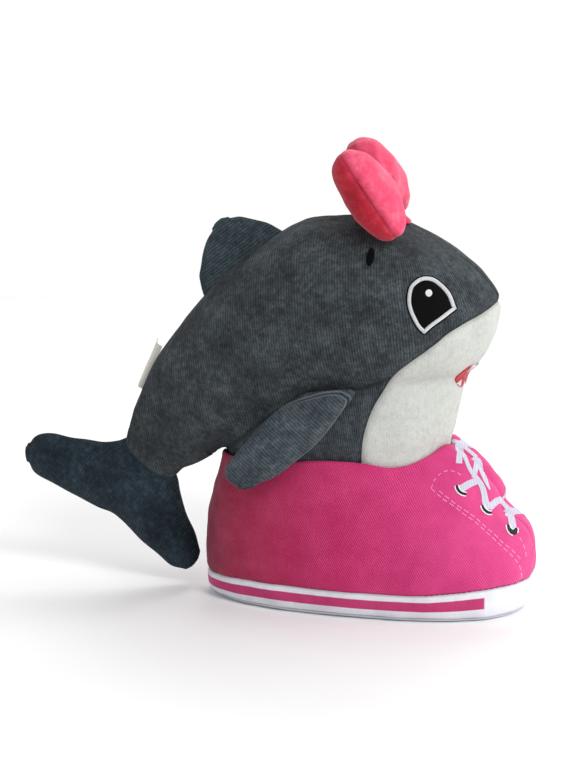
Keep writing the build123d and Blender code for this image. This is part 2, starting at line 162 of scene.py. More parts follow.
def coords(o):
    co = np.empty(len(o.data.vertices) * 3)
    o.data.vertices.foreach_get("co", co)
    return co.reshape(-1, 3) / MM


def normals(o):
    n = np.empty(len(o.data.vertices) * 3)
    o.data.vertices.foreach_get("normal", n)
    return n.reshape(-1, 3)


def set_coords(o, P):
    o.data.vertices.foreach_set("co", (P * MM).ravel())
    o.data.update()


def attr(o, name, values):
    a = o.data.attributes.get(name) or o.data.attributes.new(name, "FLOAT", "POINT")
    a.data.foreach_set("value", np.asarray(values, np.float32))


def fuse(objs, name, voxel, rounds):
    """Voxel union of closed meshes, then smoothed."""
    for o in bpy.context.selected_objects:
        o.select_set(False)
    for o in objs:
        o.select_set(True)
    bpy.context.view_layer.objects.active = objs[0]
    if len(objs) > 1:
        bpy.ops.object.join()
    o = objs[0]
    o.name = name
    mod = o.modifiers.new("remesh", "REMESH")
    mod.mode, mod.voxel_size, mod.adaptivity = "VOXEL", voxel * MM, 0.0
    dg = bpy.context.evaluated_depsgraph_get()
    me = bpy.data.meshes.new_from_object(o.evaluated_get(dg))
    o.modifiers.clear()
    o.data = me
    bm = bmesh.new()
    bm.from_mesh(me)
    for _ in range(rounds):
        bmesh.ops.smooth_vert(bm, verts=bm.verts, factor=0.5, use_axis_x=True, use_axis_y=True, use_axis_z=True)
    bm.to_mesh(me)
    bm.free()
    me.polygons.foreach_set("use_smooth", [True] * len(me.polygons))
    return o


def cut(bm, field, inside=None):
    """Splits the faces that the field's zero crosses.  field takes an (n, 3) array in mm."""
    bm.verts.ensure_lookup_table()
    P = np.array([v.co[:] for v in bm.verts]) / MM
    vals = field(P)
    vals[abs(vals) < 0.02] = 0.0
    ok = np.ones(len(P), bool) if inside is None else inside(P)
    bm.verts.index_update()
    zero = {v for v in bm.verts if vals[v.index] == 0.0 and ok[v.index]}
    todo = []
    for e in bm.edges:
        a, b = e.verts
        fa, fb = vals[a.index], vals[b.index]
        if fa * fb < 0 and ok[a.index] and ok[b.index]:
            todo.append((e, a, fa / (fa - fb)))
    for e, a, t in todo:
        _, v = bmesh.utils.edge_split(e, a, t)
        zero.add(v)
    for f in list(bm.faces):
        z = [v for v in f.verts if v in zero]
        if len(z) == 2:
            i = [list(f.verts).index(v) for v in z]
            gap = abs(i[0] - i[1])
            if gap not in (1, len(f.verts) - 1):
                try:
                    bmesh.utils.face_split(f, z[0], z[1])
                except ValueError:
                    pass


def seam_pieces(o, label_of, groove=0.9, width=1.7):
    """Labels the faces, presses a groove along every line between labels, and returns
    the labels and the seam distance."""
    me = o.data
    C = np.empty(len(me.polygons) * 3)
    me.polygons.foreach_get("center", C)
    labels = label_of(C.reshape(-1, 3) / MM)
    P, Nn = coords(o), normals(o)
    first = np.full(len(P), -1)
    seam = np.zeros(len(P), bool)
    for f, l in zip(me.polygons, labels):
        for v in f.vertices:
            if first[v] < 0:
                first[v] = l
            elif first[v] != l:
                seam[v] = True
    kd = KDTree(int(seam.sum()) or 1)
    for i in np.where(seam)[0]:
        kd.insert(P[i], int(i))
    kd.balance()
    d = np.array([kd.find(p)[2] if seam.any() else 99.0 for p in P])
    P = P - Nn * (groove * np.exp(-((d / width) ** 2)))[:, None]
    set_coords(o, P)
    return labels, d


def pieces_from(o, labels, names, d, extra):
    """Separate objects, one for each label, with the point attributes in extra."""
    P = coords(o)
    out = {}
    polys = [tuple(f.vertices) for f in o.data.polygons]
    for l, name in names.items():
        F = [polys[i] for i in np.where(labels == l)[0]]
        if not F:
            continue
        used = np.unique(np.concatenate([np.array(f) for f in F]))
        back = {int(v): i for i, v in enumerate(used)}
        q = bpy.data.meshes.new(name)
        q.from_pydata((P[used] * MM).tolist(), [], [tuple(back[v] for v in f) for f in F])
        q.polygons.foreach_set("use_smooth", [True] * len(q.polygons))
        p = bpy.data.objects.new(name, q)
        scene.collection.objects.link(p)
        attr(p, "seam", d[used])
        for key, val in extra.items():
            attr(p, key, val[used])
        out[name] = p
    bpy.data.objects.remove(o)
    return out


def bvh_of(objs):
    V, F, k = [], [], 0
    for o in objs:
        V += [v.co.copy() for v in o.data.vertices]
        F += [tuple(i + k for i in f.vertices) for f in o.data.polygons]
        k = len(V)
    return BVHTree.FromPolygons(V, F)


# ----------------------------------------------------------------- materials
class Nodes:
    """A few words for building a material's nodes."""

    def __init__(self, name):
        self.m = bpy.data.materials.new(name)
        self.m.use_nodes = True
        self.t = self.m.node_tree
        self.bsdf = self.t.nodes["Principled BSDF"]
        geo = self.t.nodes.new("ShaderNodeTexCoord")
        self.pos = self.vec("SCALE", geo.outputs["Object"], scale=1000.0)

    def put(self, sock, v):
        if hasattr(v, "default_value") or isinstance(v, bpy.types.NodeSocket):
            self.t.links.new(v, sock)
        else:
            sock.default_value = v

    def vec(self, op, a, b=None, scale=None):
        n = self.t.nodes.new("ShaderNodeVectorMath")
        n.operation = op
        self.put(n.inputs[0], a)
        if b is not None:
            self.put(n.inputs[1], b)
        if scale is not None:
            self.put(n.inputs["Scale"], scale)
        return n.outputs["Value"] if op in ("DOT_PRODUCT", "LENGTH") else n.outputs["Vector"]

    def math(self, op, a, b=0.0, c=None, clamp=False):
        n = self.t.nodes.new("ShaderNodeMath")
        n.operation = op
        n.use_clamp = clamp
        self.put(n.inputs[0], a)
        self.put(n.inputs[1], b)
        if c is not None:
            self.put(n.inputs[2], c)
        return n.outputs[0]

    def noise(self, size, detail=3.0, rough=0.55, vector=None, stretch=None):
        """Noise about size mm across, from 0 to 1."""
        n = self.t.nodes.new("ShaderNodeTexNoise")
        v = vector or self.pos
        if stretch:
            v = self.vec("MULTIPLY", v, stretch)
        self.put(n.inputs["Vector"], v)
        n.inputs["Scale"].default_value = 1.0 / size
        n.inputs["Detail"].default_value = detail
        n.inputs["Roughness"].default_value = rough
        return n.outputs["Fac"]

    def attr(self, name):
        n = self.t.nodes.new("ShaderNodeAttribute")
        n.attribute_name = name
        return n.outputs["Fac"]

    def axis(self, k):
        n = self.t.nodes.new("ShaderNodeSeparateXYZ")
        self.put(n.inputs[0], self.pos)
        return n.outputs[k]

    def ramp(self, f, *stops):
        n = self.t.nodes.new("ShaderNodeValToRGB")
        e = n.color_ramp.elements
        while len(e) < len(stops):
            e.new(0.5)
        for el, (p, c) in zip(e, stops):
            el.position = p
            el.color = (*c, 1) if len(c) == 3 else c
        self.put(n.inputs[0], f)
        return n.outputs["Color"]

    def mix(self, f, a, b, kind="MIX"):
        n = self.t.nodes.new("ShaderNodeMix")
        n.data_type, n.blend_type = "RGBA", kind
        self.put(n.inputs[0], f)
        self.put(n.inputs[6], a if not isinstance(a, tuple) else (*a, 1)[:4])
        self.put(n.inputs[7], b if not isinstance(b, tuple) else (*b, 1)[:4])
        return n.outputs[2]

    def band(self, v, lo, hi, soft):
        """1 where lo < v < hi, soft edged."""
        a = self.math("DIVIDE", self.math("SUBTRACT", v, lo), soft, clamp=True)
        b = self.math("DIVIDE", self.math("SUBTRACT", hi, v), soft, clamp=True)
        return self.math("MULTIPLY", a, b)

    def bump(self, height, dist, strength=1.0, under=None):
        n = self.t.nodes.new("ShaderNodeBump")
        n.inputs["Strength"].default_value = strength
        n.inputs["Distance"].default_value = dist * MM
        self.put(n.inputs["Height"], height)
        if under is not None:
            self.put(n.inputs["Normal"], under)
        return n.outputs["Normal"]

    def done(self, color, rough, normal=None, sheen=0.0, sheen_tint=(1, 1, 1), spec=0.3, sheen_rough=0.5):
        b = self.bsdf
        self.put(b.inputs["Base Color"], color)
        self.put(b.inputs["Roughness"], rough)
        if normal is not None:
            self.put(b.inputs["Normal"], normal)
        b.inputs["Sheen Weight"].default_value = sheen
        b.inputs["Sheen Roughness"].default_value = sheen_rough
        b.inputs["Sheen Tint"].default_value = (*sheen_tint, 1)
        b.inputs["Specular IOR Level"].default_value = spec
        return self.m


def lin(r, g, b):
    return tuple(((c / 255 + 0.055) / 1.055) ** 2.4 if c > 10 else c / 255 / 12.92 for c in (r, g, b))


def plush(name, dark, mid, light, period=1.35, rib=0.35, rim=None, sheen=0.25, seam_shade=0.55, patch=14.0):
    k = Nodes(name)
    warp = k.math("MULTIPLY", k.math("SUBTRACT", k.noise(9.0, 2.0), 0.5), 5.0)
    fine = k.math("MULTIPLY", k.math("SUBTRACT", k.noise(2.2, 2.0), 0.5), 2.2)
    phase = k.math("MULTIPLY", k.attr("rib"), 2 * math.pi / period)
    wave = k.math("SINE", k.math("ADD", k.math("ADD", phase, warp), fine))
    big = k.math("SUBTRACT", k.noise(patch, 3.0, 0.6), 0.5)
    small = k.math("SUBTRACT", k.noise(2.6, 3.0, 0.65), 0.5)
    pile = k.math("SUBTRACT", k.noise(0.42, 3.0, 0.7), 0.5)
    f = k.math("MULTIPLY_ADD", wave, rib * 0.5, 0.5)
    f = k.math("MULTIPLY_ADD", big, 0.85, f)
    f = k.math("MULTIPLY_ADD", small, 0.95, f)
    f = k.math("MULTIPLY_ADD", pile, 1.0, f)
    color = k.ramp(f, (0.12, dark), (0.5, mid), (0.92, light))
    # painted shade: the plush darkens towards the seams, standing in for the shade that falls in the seam groove
    seam_shade_mask = k.math("SUBTRACT", 1.0, k.math("DIVIDE", k.attr("seam"), 1.9), clamp=True)
    color = k.mix(k.math("MULTIPLY", seam_shade_mask, seam_shade), color, tuple(c * 0.35 for c in dark))
    if rim:
        edge = k.band(k.attr("seam"), 0.25, 1.6, 0.5)
        color = k.mix(k.math("MULTIPLY", edge, 0.55), color, rim)
    h = k.math("MULTIPLY_ADD", wave, 0.5 * rib, k.math("MULTIPLY", pile, 1.6))
    h = k.math("MULTIPLY_ADD", small, 1.2, h)
    nor = k.bump(h, 0.55, 0.85)
    rough = k.math("MULTIPLY_ADD", pile, 0.2, 0.86, clamp=True)
    return k.done(color, rough, nor, sheen, light, 0.18, 0.35)


M_GREY = plush("plush_grey", lin(34, 38, 41), lin(59, 65, 69), lin(98, 106, 110), 1.35, 0.24, sheen=0.12)
M_GREY_LOW = plush("plush_grey_low", lin(36, 41, 44), lin(62, 69, 74), lin(100, 108, 114), 1.05, 0.34, sheen=0.12)
M_DORSAL = plush("plush_dorsal", lin(36, 45, 50), lin(58, 70, 77), lin(88, 101, 108), 1.5, 0.26, sheen=0.12)
# painted light and shade: the tail is a darker, bluish copy of the grey plush, standing in for shade and the bluish
# light from the left
M_TAIL_SHADED = plush("plush_tail_shaded", lin(20, 28, 34), lin(36, 49, 58), lin(66, 81, 92), 1.35, 0.22, sheen=0.1)
M_PECT = plush("plush_pectoral", lin(44, 51, 56), lin(70, 79, 86), lin(108, 118, 124), 1.5, 0.24, rim=lin(132, 140, 146), sheen=0.12)
M_CREAM = plush("plush_cream", lin(192, 195, 188), lin(212, 216, 210), lin(226, 229, 223), 1.6, 0.10, sheen=0.1, seam_shade=0.45, patch=26.0)


def shoe_cloth():
    k = Nodes("cloth_pink")
    x, y, z = k.axis(0), k.axis(1), k.axis(2)
    steep = k.math("MULTIPLY_ADD", z, 0.62, k.attr("rib"))
    warp = k.math("MULTIPLY", k.math("SUBTRACT", k.noise(3.0, 2.0), 0.5), 1.6)
    twill = k.math("SINE", k.math("ADD", k.math("MULTIPLY", steep, 2 * math.pi / 1.15), warp))
    weave = k.math("SINE", k.math("MULTIPLY", z, 2 * math.pi / 0.55))
    fine = k.math("SUBTRACT", k.noise(0.6, 3.0, 0.7), 0.5)
    blot = k.math("SUBTRACT", k.noise(16.0, 3.0, 0.6), 0.5)
    # painted shade and light: the base colour runs from a dark crimson heel in painted shade to a light pink toe in
    # painted light
    along = k.math("DIVIDE", k.math("ADD", x, 86.0), 168.0, clamp=True)
    base = k.ramp(along, (0.0, lin(100, 6, 16)), (0.12, lin(160, 16, 56)), (0.5, lin(206, 34, 108)), (1.0, lin(230, 66, 142)))
    f = k.math("MULTIPLY_ADD", twill, 0.2, 0.5)
    f = k.math("MULTIPLY_ADD", fine, 0.5, f)
    f = k.math("MULTIPLY_ADD", blot, 0.5, f)
    color = k.mix(k.math("SUBTRACT", 0.62, f, clamp=True), base, lin(120, 12, 58))
    color = k.mix(k.math("MULTIPLY", k.math("SUBTRACT", f, 0.5, clamp=True), 0.7), color, lin(255, 150, 198))
    # painted shade in the seam grooves of the upper
    seam_shade_mask = k.math("SUBTRACT", 1.0, k.math("DIVIDE", k.attr("seam"), 1.3), clamp=True)
    color = k.mix(k.math("MULTIPLY", seam_shade_mask, 0.5), color, lin(110, 8, 40))
    h = k.math("MULTIPLY_ADD", twill, 0.4, k.math("MULTIPLY", weave, 0.2))
    h = k.math("MULTIPLY_ADD", fine, 0.9, h)
    return k.done(color, k.math("MULTIPLY_ADD", fine, 0.2, 0.72), k.bump(h, 0.22, 0.7), 0.15, (1, 0.7, 0.85), 0.3, 0.4)


M_SHOE = shoe_cloth()


def foxing_cloth(name="cloth_foxing", stripe=True):
    k = Nodes(name)
    fine = k.math("SUBTRACT", k.noise(0.5, 3.0, 0.7), 0.5)
    blot = k.math("SUBTRACT", k.noise(12.0, 3.0, 0.6), 0.5)
    f = k.math("MULTIPLY_ADD", blot, 0.8, k.math("MULTIPLY_ADD", fine, 0.5, 0.5))
    color = k.ramp(f, (0.15, lin(204, 207, 218)), (0.5, lin(228, 230, 238)), (0.9, lin(244, 245, 250)))
    if stripe:
        v = k.math("ADD", k.attr("level"), k.math("MULTIPLY", k.math("SUBTRACT", k.noise(30.0, 1.0), 0.5), 0.10))
        edge = k.band(v, 0.41, 0.79, 0.02)
        edge = k.math("MULTIPLY", edge, k.math("DIVIDE", k.math("SUBTRACT", 62.0, k.axis(0)), 0.6, clamp=True))
        pink = k.mix(k.math("ADD", f, 0.0, clamp=True), lin(168, 32, 88), lin(216, 72, 134))
        color = k.mix(edge, color, pink)
    # painted shade in the seam grooves of the band and the sole
    seam_shade_mask = k.math("SUBTRACT", 1.0, k.math("DIVIDE", k.attr("seam"), 1.2), clamp=True)
    color = k.mix(k.math("MULTIPLY", seam_shade_mask, 0.55), color, lin(110, 60, 90))
    weave = k.math("SINE", k.math("MULTIPLY", k.axis(0), 2 * math.pi / 0.6))
    h = k.math("MULTIPLY_ADD", fine, 1.0, k.math("MULTIPLY", weave, 0.2))
    crease = k.noise(4.0, 3.0, 0.6, stretch=(1.0, 1.0, 0.35))
    nor = k.bump(crease, 0.9, 0.5)
    return k.done(color, 0.75, k.bump(h, 0.2, 0.6, nor), 0.1, (1, 1, 1), 0.3)


M_FOX = foxing_cloth()
M_SOLE = foxing_cloth("cloth_sole", False)


def velvet():
    k = Nodes("velvet_pink")
    fine = k.math("SUBTRACT", k.noise(0.5, 3.0, 0.7), 0.5)
    mid = k.math("SUBTRACT", k.noise(3.2, 3.0, 0.6), 0.5)
    big = k.math("SUBTRACT", k.noise(15.0, 3.0, 0.6), 0.5)
    # painted light and shade: the front of each bow piece takes a light pink ramp in painted light, and the rear a dark
    # crimson ramp in painted shade
    lit_front_mask = k.attr("front")
    f = k.math("MULTIPLY_ADD", big, 0.8, k.math("MULTIPLY_ADD", mid, 0.6, k.math("MULTIPLY_ADD", fine, 0.6, 0.5)))
    front = k.ramp(f, (0.1, lin(212, 52, 88)), (0.5, lin(238, 84, 118)), (0.9, lin(250, 132, 158)))
    rear = k.ramp(f, (0.1, lin(138, 18, 34)), (0.5, lin(186, 36, 54)), (0.9, lin(222, 70, 92)))
    color = k.mix(lit_front_mask, rear, front)
    # painted shade in the seam grooves of the velvet
    seam_shade_mask = k.math("SUBTRACT", 1.0, k.math("DIVIDE", k.attr("seam"), 1.3), clamp=True)
    color = k.mix(k.math("MULTIPLY", seam_shade_mask, 0.6), color, lin(150, 20, 44))
    # painted shade in the velvet's folds
    color = k.mix(k.attr("fold_shade"), color, lin(176, 30, 60))
    nor = k.bump(k.math("MULTIPLY_ADD", mid, 1.2, fine), 0.5, 0.7)
    return k.done(color, 0.82, nor, 0.45, (1.0, 0.62, 0.7), 0.2, 0.35)


M_BOW = velvet()


def satin(name, dark, light, period=0.42, gloss=0.42, sheen=0.1, spec=0.5):
    """Satin stitch: threads lie along the attribute 'thread' (mm across the threads)."""
    k = Nodes(name)
    jit = k.math("MULTIPLY", k.math("SUBTRACT", k.noise(1.4, 2.0), 0.5), 1.4)
    wave = k.math("SINE", k.math("ADD", k.math("MULTIPLY", k.attr("thread"), 2 * math.pi / period), jit))
    n = k.math("SUBTRACT", k.noise(1.1, 2.0), 0.5)
    f = k.math("MULTIPLY_ADD", n, 0.7, k.math("MULTIPLY_ADD", wave, 0.3, 0.5))
    color = k.ramp(f, (0.1, dark), (0.9, light))
    return k.done(color, gloss, k.bump(wave, 0.14, 0.8), sheen, (1, 1, 1), spec)


M_BLACK = satin("satin_black", lin(2, 2, 3), lin(10, 11, 13), gloss=0.7, sheen=0.0, spec=0.08)
M_WHITE = satin("satin_white", lin(196, 200, 204), lin(246, 247, 250))
M_RED = satin("satin_red", lin(150, 0, 14), lin(214, 8, 30), spec=0.25)
M_GLINT = satin("satin_glint", lin(226, 228, 232), lin(252, 252, 255), 0.35)


def ink(name, base, edge=None, grain=0.35):
    k = Nodes(name)
    n = k.math("SUBTRACT", k.noise(0.7, 3.0, 0.65), 0.5)
    weave = k.math("SINE", k.math("MULTIPLY", k.math("MULTIPLY_ADD", k.axis(2), 0.32, k.axis(0)), 2 * math.pi / 1.15))
    f = k.math("MULTIPLY_ADD", n, grain * 2, k.math("MULTIPLY_ADD", weave, 0.12, 0.5))
    color = k.ramp(f, (0.1, tuple(c * 0.72 for c in base)), (0.55, base), (0.95, tuple(min(1, c * 1.22) for c in base)))
    if edge:
        color = k.mix(k.band(k.attr("across"), 0.0, 0.2, 0.06), color, edge)
    h = k.math("MULTIPLY_ADD", n, 0.9, k.math("MULTIPLY", weave, 0.35))
    return k.done(color, 0.7, k.bump(h, 0.2, 0.6), 0.1, (1, 1, 1), 0.3)


M_LACE = ink("ink_lace", lin(190, 199, 214), lin(216, 186, 204))
M_EYELET = ink("ink_eyelet", lin(3, 2, 4), None, 0.1)
M_RINGS = ink("ink_ring", lin(236, 232, 240))
M_DASH = ink("ink_stitch", lin(238, 146, 194))


def label_mat():
    k = Nodes("label_tape")
    w = k.math("SINE", k.math("MULTIPLY", k.attr("rib"), 2 * math.pi / 0.45))
    n = k.math("SUBTRACT", k.noise(1.5, 3.0), 0.5)
    f = k.math("MULTIPLY_ADD", n, 0.6, k.math("MULTIPLY_ADD", w, 0.15, 0.5))
    return k.done(k.ramp(f, (0.1, lin(206, 202, 190)), (0.9, lin(244, 242, 234))), 0.5, k.bump(w, 0.08, 0.7), 0.1, (1, 1, 1), 0.4)


M_LABEL = label_mat()


def give(o, material):
    o.data.materials.clear()
    o.data.materials.append(material)
    return o

# ----------------------------------------------------------------- the shark's body
BODY = [
    (61.6, 153.8, 61.9, 151.6, 2.5, 0.0),
    (60.3, 156.4, 61.4, 147.8, 7.5, 0.0),
    (56.4, 161.4, 59.8, 136.3, 17.0, 0.0),
    (50.2, 168.2, 55.2, 125.3, 25.8, 0.0),
    (42.4, 174.4, 48.6, 118.2, 32.8, 0.03),
    (33.0, 180.8, 39.8, 111.8, 38.6, 0.05),
    (20.0, 187.4, 26.4, 106.4, 43.5, 0.06),
    (4.4, 191.4, 8.8, 102.8, 46.0, 0.07),
    (-15.2, 192.6, -10.0, 100.0, 46.5, 0.07),
    (-35.3, 189.4, -28.0, 96.0, 45.5, 0.06),
    (-53.0, 179.3, -42.5, 90.0, 42.8, 0.05),
    (-71.0, 165.8, -57.5, 81.5, 38.2, 0.03),
    (-87.5, 149.0, -72.0, 73.5, 32.4, 0.0),
    (-102.0, 130.8, -84.5, 67.4, 26.2, 0.0),
    (-113.6, 113.2, -92.5, 63.2, 19.6, 0.0),
    (-121.2, 96.4, -97.2, 61.2, 13.4, 0.0),
    (-126.0, 83.4, -99.8, 58.8, 9.7, 0.0),
    (-128.4, 77.4, -102.2, 55.4, 8.3, 0.0),
    (-129.4, 73.2, -104.9, 53.4, 7.2, 0.0),
    (-129.2, 69.8, -108.2, 52.6, 5.8, 0.0),
    (-127.6, 67.2, -111.6, 52.8, 4.2, 0.0),
]
NECK = [
    (70.0, -74.5, 38.2, 35.6),
    (76.0, -76.0, 38.8, 36.6),
    (88.0, -76.0, 40.6, 37.6),
    (100.0, -68.0, 42.6, 37.4),
    (112.0, -54.0, 45.6, 35.4),
    (120.0, -44.0, 47.6, 33.0),
]
CREAM_SEAM = densify([
    (70.0, 157.6), (66.0, 154.6), (62.4, 152.2), (56.5, 148.6), (50.1, 145.4), (43.8, 141.7), (38.0, 136.9),
    (31.7, 131.3), (24.5, 126.0), (18.4, 121.2), (13.6, 115.4), (9.4, 109.0), (6.0, 102.4),
    (3.3, 94.2), (1.5, 86.0), (0.6, 72.0), (0.6, 50.0),
], 120)
SIDE_SEAM = densify([
    (40.0, 131.0), (20.0, 120.6), (12.3, 117.0), (4.0, 113.4), (-6.0, 111.2), (-16.8, 109.8), (-30.8, 105.5),
    (-43.1, 98.4), (-55.9, 88.4), (-68.0, 78.4), (-79.5, 69.0), (-92.0, 54.0),
], 90)


def ankle(x):
    return 78.4 + 0.068 * x


N = 84
rows = smooth_rows(BODY, 96)
s, c = sup(N, 2.15)
P = np.zeros((len(rows), N, 3))
for i, (tx, tz, bx, bz, w, egg) in enumerate(rows):
    h = math.hypot(tx - bx, tz - bz) / 2
    P[i, :, 0] = (tx + bx) / 2 + (tx - bx) / 2 * c
    P[i, :, 2] = (tz + bz) / 2 + (tz - bz) / 2 * c
    P[i, :, 1] = w * s * (1 - egg * c)
shark = mesh_object("shark_form", *tube(P))
rows = smooth_rows(NECK, 30)
s, c = sup(N, 2.3)
P = np.zeros((len(rows), N, 3))
for i, (z, xr, xf, w) in enumerate(rows):
    P[i, :, 0] = (xr + xf) / 2 + (xf - xr) / 2 * c
    P[i, :, 1] = w * s
    P[i, :, 2] = z
neck = mesh_object("neck_form", *tube(P))
VOX = 1.35
body = fuse([shark, neck], "body_form", VOX, 10)

bm = bmesh.new()
bm.from_mesh(body.data)
dead = [f for f in bm.faces if f.calc_center_median().z / MM < 71.0 and f.calc_center_median().x / MM > -79.6 and f.calc_center_median().x / MM < 60]
bmesh.ops.delete(bm, geom=dead, context="FACES")
cream = lambda Q: poly_distance(Q[:, 0], Q[:, 2], CREAM_SEAM)
side = lambda Q: poly_distance(Q[:, 0], Q[:, 2], SIDE_SEAM)
# going nose to ankle the cream is on the left of its seam
cut(bm, cream)
cut(bm, side, lambda Q: cream(Q) < 0.6)
cut(bm, lambda Q: Q[:, 1].copy(), lambda Q: cream(Q) < 0.6)
bm.to_mesh(body.data)
bm.free()


def body_labels(Q):
    is_cream = cream(Q) > 0
    low = side(Q) > 0
    right = Q[:, 1] < 0
    return np.where(is_cream, 0, np.where(low, np.where(right, 3, 4), np.where(right, 1, 2)))


Pb = coords(body)
nb = normals(body)
# soft dimples and the weight of loose filling
lump = 0.55 * wobble(Pb, 38, 3) + 0.25 * wobble(Pb, 15, 4)
waist = np.exp(-((Pb[:, 2] - ankle(Pb[:, 0])) / 5.0) ** 2) * (Pb[:, 0] > -82)
Pb = Pb + nb * lump[:, None] - nb * (1.1 * waist)[:, None]
# radiating pulls where the pectoral fins and the ankle are sewn
set_coords(body, Pb)
labels, d_seam = seam_pieces(body, body_labels, 1.0, 1.8)
Pb, nb = coords(body), normals(body)
pull = np.exp(-d_seam / 5.0) * 0.28 * wobble(Pb * np.array([1, 0.6, 1]), 7.0, 9)
Pb = Pb + nb * pull[:, None]
set_coords(body, Pb)
BODY_NAMES = {0: "skin_cream_front", 1: "skin_upper_right", 2: "skin_upper_left", 3: "skin_lower_right", 4: "skin_lower_left"}
skins = pieces_from(body, labels, BODY_NAMES, d_seam, {"rib": np.where(Pb[:, 0] > 10, 46 * np.arctan2(Pb[:, 0] - 10, abs(Pb[:, 1]) + 3), Pb[:, 0] - 10) + 0.12 * Pb[:, 2]})
NODE_OF = {
    "skin_cream_front": ("belly_panel", M_CREAM, "plush_cream"),
    "skin_upper_right": ("body_side_panel_right", M_GREY, "plush_grey"),
    "skin_upper_left": ("body_side_panel_left", M_GREY, "plush_grey"),
    "skin_lower_right": ("lower_side_panel_right", M_GREY_LOW, "plush_grey_low"),
    "skin_lower_left": ("lower_side_panel_left", M_GREY_LOW, "plush_grey_low"),
}
for name, (node, m, sl) in NODE_OF.items():
    o = give(skins[name], m)
    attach(o, "body")
    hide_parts(node)
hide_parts("body_side_panel_right", "body_filling")
BODY_BVH = bvh_of(list(skins.values()))

# ----------------------------------------------------------------- the sneaker
SHOE = [
    (0.0, -79.4, 74.6, 39.4, 0.10, 2.45),
    (0.9, -81.8, 77.4, 41.8, 0.10, 2.45),
    (3.0, -83.4, 79.0, 43.4, 0.10, 2.45),
    (7.0, -84.4, 80.2, 44.8, 0.10, 2.4),
    (14.0, -85.0, 81.3, 45.7, 0.10, 2.35),
    (25.0, -85.4, 81.6, 46.0, 0.10, 2.35),
    (36.0, -84.5, 79.6, 44.6, 0.08, 2.4),
    (41.0, -84.0, 76.6, 43.8, 0.08, 2.4),
    (46.0, -83.0, 70.4, 43.1, 0.07, 2.45),
    (50.0, -82.2, 65.8, 42.4, 0.06, 2.46),
    (54.0, -81.4, 64.6, 41.8, 0.06, 2.48),
    (58.0, -80.6, 63.2, 41.2, 0.05, 2.5),
    (64.0, -79.3, 58.8, 40.2, 0.04, 2.45),
    (70.0, -78.2, 54.0, 39.2, 0.03, 2.4),
    (76.0, -77.2, 47.6, 38.3, 0.02, 2.35),
    (80.6, -76.4, 41.2, 37.7, 0.015, 2.3),
]
NS, MS = ((300, 150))
rows = smooth_rows(SHOE, MS)
P = np.zeros((MS, NS, 3))
for i, (z, xr, xf, w, bias, power) in enumerate(rows):
    s, c = sup(NS, power)
    t = 2 * np.pi * np.arange(NS) / NS
    P[i, :, 0] = (xr + xf) / 2 + (xf - xr) / 2 * c
    P[i, :, 1] = w * s * (1 + bias * c)
    P[i, :, 2] = max(z, 0.0)
# lean the rings so that the top one is the ankle line
dip = 5.0 * np.exp(-(((P[:, :, 0] - 18.0) / 15.0) ** 2)) * smooth(abs(P[:, :, 1]), 12, 30)
lift = (ankle(P[:, :, 0]) - 1.4 - dip - 80.6) * smooth(P[:, :, 2], 50, 80.6)
P[:, :, 2] += lift
# roll the top edge in, under the plush
top = [P]
for dz, shrink in ((0.5, 0.5), (0.3, 1.4), (-0.5, 2.6), (-2.0, 4.0), (-5.0, 5.0)):
    R = P[-1].copy()
    mid = np.array([-16.0, 0.0])
    v = R[:, :2] - mid
    L = np.linalg.norm(v, axis=1, keepdims=True)
    R[:, :2] = mid + v * (1 - shrink / L)
    R[:, 2] += dz
    top.append(R[None])
P = np.concatenate(top)
V, F = tube(P)
shoe = mesh_object("shoe_form", V, F)
Ps, ns = coords(shoe), normals(shoe)
x, y, z = Ps.T
front = smooth(x, 24, 40)
rise = smooth(z, 44, 54) * (1 - smooth(z, 82, 88))
valley = 2.0 * np.exp(-((y / 3.4) ** 2)) * front * rise
bulge = 1.7 * np.exp(-(((abs(y) - 12.0) / 7.0) ** 2)) * front * rise
instep = 1.0 * np.exp(-(((z - 49.5) / 3.2) ** 2)) * smooth(x, 56, 68) * np.exp(-((y / 20.0) ** 2))
heel_seam = 0.8 * np.exp(-((y / 1.5) ** 2)) * (x < -60) * smooth(z, 12, 18)
soft = 0.5 * wobble(Ps, 30, 21) + 0.22 * wobble(Ps, 11, 22)
soft *= smooth(z, 0.5, 8)
neck_in = 0.9 * np.exp(-(((z - ankle(x) - 0.4) / 3.0) ** 2)) * 0
Ps = Ps + ns * (soft + bulge - valley - instep - heel_seam)[:, None]
# creases that fan out from the foxing seam and across the instep
f = np.exp(-(((z - 18.0) / 9.0) ** 2)) * 0.35 * wobble(Ps * np.array([1, 1, 0.35]), 9.0, 31)
f += np.exp(-(((z - 52.0) / 10.0) ** 2)) * smooth(x, 35, 60) * 0.5 * wobble(Ps * np.array([0.5, 0.5, 1.4]), 8.0, 33)
low = (1 - smooth(z, 0.0, 9.0)) * smooth(z, 0.2, 2.0) * 0.45 * wobble(Ps * np.array([1, 1, 0.4]), 10.0, 35)
Ps = Ps + ns * (f + low)[:, None]
Ps[:, 2] = np.maximum(Ps[:, 2], 0.0)
set_coords(shoe, Ps)


def fox_seam(x):
    return 13.7 + 3.4 * smooth(x, 22, 80) - 1.6 * smooth(-x, 50, 84)


bm = bmesh.new()
bm.from_mesh(shoe.data)
sole_line = lambda Q: Q[:, 2] - 1.3
fox_line = lambda Q: Q[:, 2] - fox_seam(Q[:, 0])
cut(bm, sole_line)
cut(bm, fox_line)
cut(bm, lambda Q: Q[:, 1].copy(), lambda Q: fox_line(Q) > -0.6)
bm.to_mesh(shoe.data)
bm.free()


def shoe_labels(Q):
    return np.where(sole_line(Q) < 0, 0, np.where(fox_line(Q) < 0, 1, np.where(Q[:, 1] < 0, 2, 3)))


